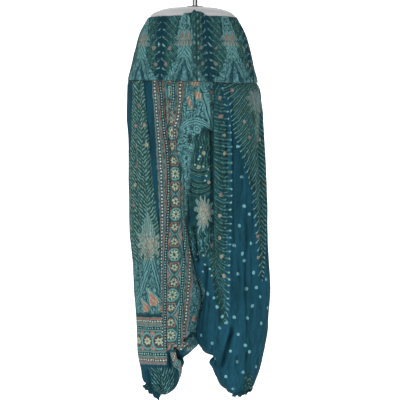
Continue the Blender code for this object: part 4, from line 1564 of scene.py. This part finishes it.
def yokePrint(coat, a, r):
    lay, use = coat.lay, coat.use
    # the flower repeats round the waist, with a dark dip between two flowers
    wander = tones(a, r, 9, 14, 1) - 0.5
    lean = rise(a, 8, 24) * (r - 40) * 0.12
    jitter = tones(a + 40, r, 3, 3.6, 1) - 0.5
    r = r + jitter * 3.4
    x = fold(a - lean, 48, -12.5) + wander * 2.4 + jitter * 2.0
    out = abs(x)
    apart = 24 - out
    shade = tones(a, r, 4, 6, 2)
    coat.colour = paint("greenDeep", rise(shade, 0.28, 0.60), "green")
    dipHalf = 8.0 - rise(r, 44, 56) * 3.5 + rise(r, 64, 76) * 2.0 + wander * 5
    lay(fall(apart - dipHalf, -2.5, 3.0) * 0.95, "navy")
    # wide barbs that fall away from the dip, and a fine hatch between them
    broken = rise(tones(a + 9, r, 2.6, 3.6, 1), 0.42, 0.56)
    barbDye = paint("barb", rise(tones(a, r, 5, 9, 1), 0.48, 0.60), "barbAqua")
    hatch = use("barbs", Across=apart, Row=r, Spacing=2.6, Drop=0.8, Curl=-0.016, Span=24, Thick=0.16)
    lay(hatch["Line"] * rise(apart, 3, 8) * (0.26 + broken * 0.54), barbDye)
    barbs = use(
        "barbs", Across=apart, Row=r + wander * 3, Spacing=7.6, Drop=0.55, Curl=-0.028, Span=21,
        Thick=0.085, Vary=5.0,
    )
    show = rise(apart, 1.0, 1.8) * (0.30 + broken * 0.65)
    lay(barbs["Line"] * show, barbDye)
    lay(barbs["Line"] * band(apart, 2.2, 1.0, 0.6) * (0.35 + broken * 0.5), "aquaPale")
    # the flower's outline: a dome, two tiers of hanging petals, a stem, then leaves that spread
    dome = reckon("POWER", rise(r, 9, 44), 0.45) * 8.2 * fall(r, 36.5, 37.0) * rise(r, 15, 18)
    tiers = (7.0 + part((r - 35.2) / 6.4) * 4.0) * rise(r, 36.5, 37.0) * fall(r, 47.6, 48.0)
    stem = (6.2 + rise(r, 50, 60) * 1.0) * rise(r, 47.6, 48.0) * fall(r, 60, 60.6)
    leaves = (8.5 + rise(r, 60, 92) * 15 + abs(wave(r * 0.42 + 0.6)) * 2.4) * rise(r, 60, 60.6)
    flower = fall(out - dome, -0.5, 0.5) * rise(r, 16, 17) * fall(r, 37, 37.6)
    skirt = fall(out - tiers, -0.5, 0.5) * within(r, 36.8, 47.8, 0.3)
    below = most(
        fall(out - stem, -0.5, 0.5) * within(r, 47.8, 60.4, 0.3),
        fall(out - leaves, -0.6, 0.6) * rise(r, 60, 60.8),
    )
    # the dome, with a dark inner line, two eyes and a zigzag
    domeDye = coats(
        "aqua",
        (rise(shade, 0.45, 0.65) * 0.4, "aquaDull"),
        (fall(abs(dome - out - 2.0), 0.2, 0.6) * 0.6, "hollow"),
    )
    eyes = nearest(pair(out, r), [(2.2, 27.8), (0, 22.5)])
    domeDye = paint(domeDye, fall(abs(eyes - 1.5), 0.4, 0.9) * 0.9, "hollow")
    domeDye = paint(domeDye, fall(eyes, 0.4, 0.9) * 0.8, "aquaPale")
    domeDye = paint(domeDye, fall(abs(r - 33.2 + abs(fold(out, 4.0)) * 1.6), 0.4, 0.9) * 0.9, "hollow")
    lay(flower * 0.95, domeDye)
    # hanging petals, parted by lines that fan out from the dome
    fan = abs(fold(x / (r - 27), 0.17))
    petalDye = coats(
        "starGrey",
        (rise(tones(a + 30, r, 2.2, 2.2, 0), 0.48, 0.60) * 0.7, "pinkGrey"),
        (rise(out, 4.5, 9.0) * 0.6, "aquaDull"),
        (rise(fan, 0.052, 0.075) * 0.8, "hollow"),
        (fall(abs(r - 42.2 - fan * 20), 0.3, 0.8) * 0.5, "hollow"),
    )
    lay(skirt * 0.95, petalDye)
    tongues = fall(abs(out - 3.6 - (r - 37) * 0.22), 0.7, 1.4) * within(r, 33.5, 40.5, 0.8)
    lay(tongues * (0.2 + broken * 0.5), "rust")
    tongues = fall(abs(out - 1.6 - (r - 42) * 0.40), 0.5, 1.2) * within(r, 40.5, 46.5, 0.8)
    lay(tongues * (0.15 + broken * 0.5), "salmon")
    # the stem and its leaves, with a pair of pale ribs and dark folds of dye between them
    scroll = use("scroll", X=a, Y=r, Size=5.0)
    leafDye = paint("hollow", scroll["Scroll"], "aqua")
    chevrons = fall(abs(fold(r - out * 1.5, 4.6)), 0.4, 1.0)
    leafDye = paint(leafDye, fall(r, 60, 61), paint("aqua", chevrons * 0.85, "hollow"))
    rib = out - (r - 57) * 0.40
    inner = fall(rib, -1.8, -1.2) * rise(r, 60, 61)
    innerDye = coats(
        "navy",
        (fall(out - (r - 65) * 0.22, -0.6, 0.6) * (0.35 + broken * 0.5), "dot"),
        (fall(abs(fold(r + out * 2.2, 5.2)), 0.4, 1.1) * 0.6, "navy"),
    )
    leafDye = paint(leafDye, inner * 0.75, innerDye)
    leafDye = paint(leafDye, band(rib, 0.2, 1.3) * rise(r, 59, 61) * 0.9, paint("aquaDull", broken, "aqua"))
    leafDye = paint(leafDye, fall(abs(rib + 0.2), 0.1, 0.6) * rise(r, 59, 61) * 0.5, "hollow")
    leafDye = paint(leafDye, fall(abs(rib - 2.3), 0.3, 0.8) * rise(r, 59, 61) * 0.9, "hollow")
    lay(below * 0.95, leafDye)
    edge = most(
        fall(abs(out - leaves - 0.9), 0.3, 0.9) * rise(r, 60, 61),
        fall(abs(out - dome - 0.9), 0.3, 0.9) * within(r, 17, 37),
    )
    lay(edge * 0.6, "navy")
    # loose flowers either side of the dip
    away = nearest(pair(x, r), [(15.7, 50), (18.3, 66), (-15.7, 50), (-18.6, 66)]) + wander * 0.9
    lay(fall(away, 2.3, 3.1) * 0.6, "greenDeep")
    petal = paint("pinkGrey", rise(shade, 0.48, 0.54) * 0.6, "barbGold")
    lay(fall(away, 1.5, 2.3) * 0.85, petal)
    lay(fall(away, 0.3, 0.9) * 0.5, "columnDark")
    # the centre seam, with pale drops beside it
    seamY = fold(r + wander * 7, 7.5)
    drops = reckon("SQRT", (abs(a) - 1.9) * (abs(a) - 1.9) + seamY * seamY * 0.4)
    lay(fall(abs(a), 2.5, 6.0) * 0.5, "greenDeep")
    lay(fall(drops, 0.5, 1.1) * fall(abs(a), 4, 5) * rise(r, 15, 18) * (0.1 + broken * 0.5), "aquaPale")


def newMaterial(name, roughness, metallic=0.0):
    material = bpy.data.materials.new(name)
    material.use_nodes = True
    shader = material.node_tree.nodes["Principled BSDF"]
    shader.inputs["Roughness"].default_value = roughness
    shader.inputs["Metallic"].default_value = metallic
    return material, shader


def weaveGroup():
    # a plain weave, with a crinkled crepe over it, and painted shade for the crinkles
    group, (place, threads, crinkle), end = openGroup(
        "rayon_weave", [("Cloth", None), ("Threads", 1100), ("Crinkle", 0.5)], ["Height", "Shade"]
    )
    u, v, _ = separate(group, place.socket)
    over = wave(u * threads * math.pi) * wave(v * threads * math.pi)
    crepe = tones(u, v, 0.0030, 0.022, 3)
    fineCrepe = tones(u + 3, v, 0.0011, 0.006, 2)
    height = over * 0.00006 + crepe * crinkle * 0.0016 + fineCrepe * crinkle * 0.0005
    # painted shade and light of the crepe's crinkles, from the same noise that gives its height
    shade = (crepe * 0.6 + fineCrepe * 0.4) - 0.5
    return closeGroup(group, end, Height=height, Shade=shade)


def addRelief(shader, height, strength, specular, distance=1.0):
    # the surface's fine relief as a bump, and how much light it throws back
    tree = height.tree
    bump = tree.nodes.new("ShaderNodeBump")
    bump.inputs["Strength"].default_value = strength
    bump.inputs["Distance"].default_value = distance
    plug(tree, height, bump.inputs["Height"])
    tree.links.new(bump.outputs["Normal"], shader.inputs["Normal"])
    shader.inputs["Specular IOR Level"].default_value = specular


def clothMaterial(name, draw, panel):
    material, shader = newMaterial(name, 0.78)
    tree = material.node_tree
    uv, a, r = clothReadings(tree)
    coat = Print(tree, panel, a, r)
    weave = coat.use("weave", Cloth=uv, Threads=1100.0, Crinkle=0.5)
    draw(coat, a, r)
    # the print is worn a little unevenly; then painted shade darkens the folds and painted light brightens
    # the ridges
    wear = tones(a + 70, r, 1.1, 1.7, 2)
    coat.lay(fall(wear, 0.40, 0.54) * 0.30, "hollow")
    # painted shade in the folds and painted light on the ridges, from how deep each point lies in a fold
    paintedShadingNode = tree.nodes.new("ShaderNodeAttribute")
    paintedShadingNode.attribute_name = "crease"
    crease = Reading(tree, paintedShadingNode.outputs["Fac"])
    paintedFoldShade, paintedRidgeLight = rise(crease, 0.08, 1.1), rise(crease * -1, 0.0, 1.0)
    shadeNode = tree.nodes.new("ShaderNodeHueSaturation")
    plug(tree, coat.colour, shadeNode.inputs["Color"])
    # the print's brightness: painted shade of the crepe's crinkles, painted shade in the folds and painted
    # light on the ridges
    plug(tree, 1 + weave["Shade"] * 1.1 - paintedFoldShade * 0.44 + paintedRidgeLight * 0.16, shadeNode.inputs["Value"])
    tree.links.new(shadeNode.outputs[0], shader.inputs["Base Color"])
    addRelief(shader, weave["Height"], 0.8, 0.05)
    return material


def surfaceGroup():
    # a hard surface's faint unevenness: cloudy colour, fine grain and a height for the bump
    group, (clouds, grain, streak), end = openGroup(
        "hard_surface", [("Clouds", 18), ("Grain", 900), ("Streak", 1)], ["Cloud", "Fine", "Height"]
    )
    place = group.nodes.new("ShaderNodeTexCoord")
    x, y, z = separate(group, place.outputs["Object"])
    stretched = group.nodes.new("ShaderNodeCombineXYZ")
    for reading, slot in zip((x, y, z * streak), stretched.inputs):
        plug(group, reading, slot)

    def noise(scale, detail):
        node = group.nodes.new("ShaderNodeTexNoise")
        node.inputs["Detail"].default_value = detail
        group.links.new(stretched.outputs[0], node.inputs["Vector"])
        plug(group, scale, node.inputs["Scale"])
        return Reading(group, node.outputs[0])

    cloud, fine = noise(clouds, 3.0), noise(grain, 1.0)
    return closeGroup(group, end, Cloud=cloud, Fine=fine, Height=cloud * 0.0004 + fine * 0.00004)


def hardMaterial(name, colour, other, roughness, metallic, clouds, grain, streak, specular=0.5):
    # colour drifts to other where the surface is cloudy, and roughness with it
    material, shader = newMaterial(name, roughness, metallic)
    tree = material.node_tree
    finish = useGroup(tree, hardSurface, Clouds=clouds, Grain=grain, Streak=streak)
    plug(tree, paint(colour, rise(finish["Cloud"], 0.35, 0.65), other), shader.inputs["Base Color"])
    plug(
        tree, finish["Fine"] * 0.08 + finish["Cloud"] * 0.10 + (roughness - 0.09),
        shader.inputs["Roughness"],
    )
    addRelief(shader, finish["Height"], 0.35, specular)
    return material


hardSurface = surfaceGroup()
formSkin = hardMaterial(
    "form_skin", (0.575, 0.590, 0.597, 1), (0.600, 0.612, 0.618, 1), 0.42, 0.0, 14.0, 900.0, 1.0, 0.35
)
chrome = hardMaterial(
    "polished_chrome", (0.62, 0.62, 0.63, 1), (0.56, 0.56, 0.57, 1), 0.14, 1.0, 60.0, 2600.0, 0.06
)
# the flange's polished steel painted dark: painted shade for the shadow line along its edge
steelWithPaintedShade = hardMaterial(
    "steel_with_painted_shade", (0.075, 0.075, 0.08, 1), (0.05, 0.05, 0.055, 1), 0.55, 0.2, 80.0, 2200.0, 1.0, 0.2
)

pieces = {}  # by the name of the plain solid that each one replaces
for leg, frontSeed, backSeed, hemSeed in (("right", 31, 47, 3), ("left", 59, 71, 5)):
    pieces[f"leg_{leg}_front"] = clothPanel(leg, "front", frontSeed)
    pieces[f"leg_{leg}_back"] = clothPanel(leg, "back", backSeed)
    pieces[f"hem_{leg}"] = hemRing(leg, hemSeed)
middleAngle = frontAngle(yokeShape["seamX"], -0.158)
frontColumns, backColumns = yokeShape["frontColumns"], yokeShape["backColumns"]
pieces["yoke_front_right"] = yokePanel("yoke_cloth_front_right", math.pi, middleAngle, frontColumns, 11)
pieces["yoke_front_left"] = yokePanel("yoke_cloth_front_left", middleAngle, 2 * math.pi, frontColumns, 12)
pieces["yoke_back"] = yokePanel("yoke_cloth_back", 0, math.pi, backColumns, 13)
print("cloth made:", len(pieces), "pieces")

groups = {
    "barbs": barbsGroup(),
    "bloom": bloomGroup(),
    "star": starGroup(),
    "scroll": scrollGroup(),
    "bead": beadGroup(),
    "chain": chainGroup(),
    "weave": weaveGroup(),
}
prints = {
    "right": clothMaterial("right_leg_print", rightLegPrint, "cloth_leg_right_front"),
    "left": clothMaterial("left_leg_print", leftLegPrint, "cloth_leg_left_front"),
    "yoke": clothMaterial("yoke_print", yokePrint, None),
}
for node, piece in pieces.items():
    dyed = next(name for name in ("yoke", "right", "left") if name in node)
    piece.data.materials.append(prints[dyed])
print("prints drawn:", sum(len(m.node_tree.nodes) for m in prints.values()), "nodes")


def closedLoft(name, rings, material):
    # rings of points from top to bottom, closed at both ends
    rows, sides = len(rings), len(rings[0])
    bm = bmesh.new()
    verts = [[bm.verts.new(p) for p in ring] for ring in rings]
    for row in range(rows - 1):
        for k in range(sides):
            n = (k + 1) % sides
            bm.faces.new((verts[row][k], verts[row + 1][k], verts[row + 1][n], verts[row][n]))
    for row, turned in ((0, 1), (rows - 1, -1)):
        centre = bm.verts.new(np.mean(rings[row], axis=0))
        for k in range(sides):
            n = (k + 1) % sides
            bm.faces.new((centre, verts[row][k], verts[row][n])[::turned])
    bmesh.ops.recalc_face_normals(bm, faces=bm.faces)
    mesh = bpy.data.meshes.new(name)
    bm.to_mesh(mesh)
    bm.free()
    mesh.shade_smooth()
    mesh.set_sharp_from_angle(angle=math.radians(38))
    mesh.materials.append(material)
    piece = bpy.data.objects.new(name, mesh)
    bpy.context.scene.collection.objects.link(piece)
    return piece


def makeForm():
    f = formSections
    angle = np.linspace(0, 2 * np.pi, f["sides"], endpoint=False)
    rings = []
    waist = formRing(np.full(len(angle), f["levels"][0][0]), 0, angle)
    steps, keys = np.linspace(0, 1, f["domeRows"]), np.linspace(0, 1, len(f["dome"]))
    for z, share in zip(*(np.interp(steps, keys, column) for column in zip(*f["dome"]))):
        rings.append(
            waist * np.array([share, share, 0]) + np.array([cloth["formShift"] * (1 - share), 0, z])
        )
    for z in np.linspace(f["levels"][0][0], f["levels"][-1][0], f["bodyRows"]):
        rings.append(formRing(np.full(len(angle), z), 0, angle))
    return closedLoft("hip_form_shell", rings, formSkin)


def turnedPiece(name, profile, sides, material):
    # profile of (radius, z) turned round the rod's axis, from top to bottom
    angle = np.linspace(0, 2 * np.pi, sides, endpoint=False)
    rings = [np.stack([r * np.cos(angle), r * np.sin(angle), z + 0 * angle], axis=1) for r, z in profile]
    return closedLoft(name, rings, material)


hanger = {
    "rodRadius": 0.0066,
    "flangeRadius": 0.0212,
    "sink": 0.0013,       # how far the flange sits below its plain solid, on the dome
    "sides": 96,
}
form = makeForm()
rodBox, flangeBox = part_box("hanging_rod"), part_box("form_flange")
r = hanger["rodRadius"]
sink = hanger["sink"]
rodTop, rodLow = rodBox[1][2], rodBox[0][2] - sink
rod = turnedPiece(
    "hanging_rod_tube", [(r - 0.0006, rodTop), (r, rodTop - 0.0006), (r, rodLow)], hanger["sides"], chrome
)
flangeTop, flangeLow = flangeBox[1][2] - sink, flangeBox[0][2] - sink
wide = hanger["flangeRadius"]
flange = turnedPiece(
    "form_flange_disc",
    [(r + 0.0002, flangeTop), (wide - 0.0008, flangeTop), (wide, flangeTop - 0.0006), (wide, flangeLow)],
    hanger["sides"],
    steelWithPaintedShade,
)

stitch = {
    "pitch": 0.0033,      # from one stitch to the next
    "length": 0.0023,
    "thread": 0.00042,    # thickness of the thread
    "unevenness": 0.12,
    "proud": 0.00018,     # how far the thread's middle stands off the cloth
    "fromSeam": 2,        # rows of the yoke's grid above its seam
    "fromWaist": 4,
    "hemRows": (3, 11),   # rows of the casing's grid
}


def stitchTree(thread):
    # short threads along a path, one at each pitch
    tree = bpy.data.node_groups.new("stitch_row", "GeometryNodeTree")
    tree.interface.new_socket("Geometry", in_out="INPUT", socket_type="NodeSocketGeometry")
    for label in ("Pitch", "Length", "Thread", "Unevenness"):
        socket = tree.interface.new_socket(label, in_out="INPUT", socket_type="NodeSocketFloat")
        socket.default_value = stitch[label.lower()]
    tree.interface.new_socket("Seed", in_out="INPUT", socket_type="NodeSocketInt").default_value = 1
    tree.interface.new_socket("Geometry", in_out="OUTPUT", socket_type="NodeSocketGeometry")

    def add(kind, mode=None, **values):
        node = tree.nodes.new(kind)
        if mode:
            node.mode = mode
        for label, value in values.items():
            slot = node.inputs[label]
            if isinstance(value, bpy.types.NodeSocket):
                tree.links.new(value, slot)
            else:
                slot.default_value = value
        return node

    given = tree.nodes.new("NodeGroupInput").outputs
    path = add("GeometryNodeMeshToCurve", Mesh=given["Geometry"])
    places = add("GeometryNodeCurveToPoints", mode="LENGTH", Curve=path.outputs[0], Length=given["Pitch"])
    bead = add("GeometryNodeMeshUVSphere", Segments=6, Rings=4, Radius=0.5)
    size = tree.nodes.new("ShaderNodeCombineXYZ")
    for axis, label in (("X", "Thread"), ("Y", "Thread"), ("Z", "Length")):
        tree.links.new(given[label], size.inputs[axis])
    threadShape = add("GeometryNodeTransform", Geometry=bead.outputs[0], Scale=size.outputs[0])
    uneven = Reading(tree, given["Unevenness"])
    random = tree.nodes.new("FunctionNodeRandomValue")
    random.data_type = "FLOAT"
    plug(tree, 1 - uneven, random.inputs[2])
    plug(tree, uneven + 1, random.inputs[3])
    tree.links.new(given["Seed"], random.inputs["Seed"])
    copies = add(
        "GeometryNodeInstanceOnPoints",
        Points=places.outputs["Points"],
        Instance=threadShape.outputs[0],
        Rotation=places.outputs["Rotation"],
        Scale=random.outputs[1],
    )
    whole = add("GeometryNodeRealizeInstances", Geometry=copies.outputs[0])
    smooth = add("GeometryNodeSetShadeSmooth", Geometry=whole.outputs[0])
    dyed = add("GeometryNodeSetMaterial", Geometry=smooth.outputs[0], Material=thread)
    end = tree.nodes.new("NodeGroupOutput")
    tree.links.new(dyed.outputs[0], end.inputs[0])
    return tree


def onCloth(name, row):
    # a path just off the cloth along one row of a piece's grid
    points, inside = clothGrids[name]
    normal = gridNormals(points)
    if (normal * (points - inside)).sum() < 0:
        normal = -normal
    return points[row] + normal[row] * stitch["proud"]


def stitchRows(name, paths, tree, seed):
    mesh = bpy.data.meshes.new(name)
    places, edges = [], []
    for path in paths:
        edges += [(len(places) + k, len(places) + k + 1) for k in range(len(path) - 1)]
        places += path.tolist()
    mesh.from_pydata(places, edges, [])
    piece = bpy.data.objects.new(name, mesh)
    bpy.context.scene.collection.objects.link(piece)
    maker = piece.modifiers.new("stitches", "NODES")
    maker.node_group = tree
    for socket in tree.interface.items_tree:
        if socket.in_out == "INPUT" and socket.name == "Seed":
            maker[socket.identifier] = seed
        elif socket.in_out == "INPUT" and socket.name.lower() in stitch:
            maker[socket.identifier] = stitch[socket.name.lower()]
    graph = bpy.context.evaluated_depsgraph_get()
    made = bpy.data.meshes.new_from_object(piece.evaluated_get(graph))
    piece.modifiers.remove(maker)
    piece.data = made
    return piece


def threadMaterial():
    # spun thread: two dyes twisted together
    material, shader = newMaterial("sewing_thread", 0.6)
    tree = material.node_tree
    finish = useGroup(tree, hardSurface, Clouds=500.0, Grain=6000.0, Streak=1.0)
    plug(tree, paint("tealDeep", rise(finish["Cloud"], 0.4, 0.6), "aquaDull"), shader.inputs["Base Color"])
    addRelief(shader, finish["Fine"] * 0.0002, 0.4, 0.2, distance=0.001)
    return material


stitches = stitchTree(threadMaterial())
yokeNames = ("yoke_cloth_front_right", "yoke_cloth_front_left", "yoke_cloth_back")
seams = {
    "yoke_seam_stitches": [onCloth(name, -1 - stitch["fromSeam"]) for name in yokeNames],
    "waist_edge_stitches": [onCloth(name, stitch["fromWaist"]) for name in yokeNames],
}
for leg in ("right", "left"):
    seams[f"hem_stitches_{leg}"] = [onCloth(f"hem_ruffle_{leg}", row) for row in stitch["hemRows"]]
sewn = {name: stitchRows(name, paths, stitches, 5 + k) for k, (name, paths) in enumerate(seams.items())}
print("stitched:", sum(len(piece.data.polygons) for piece in sewn.values()), "thread faces")

for piece in list(pieces.values()) + list(sewn.values()) + [form, rod, flange]:
    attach(piece, "root")
for node, piece in pieces.items():
    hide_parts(node)
for node, piece, surface in (
    ("hip_form", form, "form_white"),
    ("hanging_rod", rod, "polished_steel"),
    ("form_flange", flange, "polished_steel"),
):
    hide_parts(node)


def paperMaterial(name, tone, glow):
    # paper that is lit from within, so that it looks evenly white
    material, shader = newMaterial(name, 0.9)
    shader.inputs["Base Color"].default_value = (tone, tone, tone, 1)
    shader.inputs["Emission Color"].default_value = (1, 1, 1, 1)
    shader.inputs["Emission Strength"].default_value = glow
    return material


def paperStrip(name, rungs, material):
    # a strip of paper between pairs of points
    mesh = bpy.data.meshes.new(name)
    faces = [(2 * k, 2 * k + 1, 2 * k + 3, 2 * k + 2) for k in range(len(rungs) - 1)]
    mesh.from_pydata([point for rung in rungs for point in rung], [], faces)
    mesh.materials.append(material)
    strip = bpy.data.objects.new(name, mesh)
    bpy.context.scene.collection.objects.link(strip)
    return strip


# floor and backdrop in one sweep
sweep = {"floorZ": -1.30, "front": -9.0, "back": 2.4, "bend": 1.2, "top": 4.5, "halfWidth": 9.0}
low, back, bend, w = sweep["floorZ"], sweep["back"], sweep["bend"], sweep["halfWidth"]
turns = [k / 16 * math.pi / 2 for k in range(1, 17)]
profile = [(sweep["front"], low), (back, low)]
profile += [(back + bend * math.sin(turn), low + bend * (1 - math.cos(turn))) for turn in turns]
profile.append((back + bend, sweep["top"]))
paper = paperMaterial("studio_paper", 0.93, 0.85)
stage = paperStrip("studio_sweep", [((-w, y, z), (w, y, z)) for y, z in profile], paper)
stage.data.shade_smooth()
# from behind, the sweep is clear
nodes, link = paper.node_tree.nodes, paper.node_tree.links.new
either = nodes.new("ShaderNodeMixShader")
link(nodes.new("ShaderNodeNewGeometry").outputs["Backfacing"], either.inputs[0])
link(nodes["Principled BSDF"].outputs[0], either.inputs[1])
link(nodes.new("ShaderNodeBsdfTransparent").outputs[0], either.inputs[2])
link(either.outputs[0], nodes["Material Output"].inputs["Surface"])

scene = bpy.context.scene
world = bpy.data.worlds.new("studio_world")
world.use_nodes = True
world.node_tree.nodes["Background"].inputs["Color"].default_value = (1, 1, 1, 1)
world.node_tree.nodes["Background"].inputs["Strength"].default_value = 0.44
scene.world = world
scene.view_settings.view_transform = "Standard"


def softBox(name, place, target, size, power):
    data = bpy.data.lights.new(name, "AREA")
    data.shape = "RECTANGLE"
    data.size, data.size_y = size
    data.energy = power
    lamp = bpy.data.objects.new(name, data)
    scene.collection.objects.link(lamp)
    lamp.location = place
    lamp.rotation_euler = (Vector(target) - Vector(place)).to_track_quat("-Z", "Y").to_euler()
    return lamp


softBox("key_softbox", (-2.4, -3.2, 1.1), (0, 0, -0.5), (1.2, 1.6), 40)
softBox("fill_softbox", (2.6, -3.0, 0.2), (0, 0, -0.6), (1.6, 2.0), 12)

# cards that only glossy rays see, for the polished rod to mirror: from, to in degrees round the front, and
# brightness
cards = {
    "radius": 3.0, "low": -1.2, "high": 2.6, "arcs": [(-46, 40, 1.0), (40, 165, 0.03), (-165, -46, 0.17)]
}
for first, last, bright in cards["arcs"]:
    turns = np.radians(np.linspace(first, last, 13))
    foot = [(cards["radius"] * math.sin(t), -cards["radius"] * math.cos(t)) for t in turns]
    rungs = [((x, y, cards["low"]), (x, y, cards["high"])) for x, y in foot]
    card = paperStrip("mirrored_card", rungs, paperMaterial("card_paper", 0, bright))
    for ray in ("camera", "diffuse", "transmission", "volume_scatter", "shadow"):
        setattr(card, "visible_" + ray, False)

camera = bpy.data.cameras.new("camera")
camera.sensor_width = 36
camera.lens = 7 * 36 / 1.024
view = bpy.data.objects.new("camera", camera)
scene.collection.objects.link(view)
view.location = (0.0128, -7.0, -0.5366)
view.rotation_euler = (math.pi / 2, 0, 0)
scene.camera = view

print("scene ready")
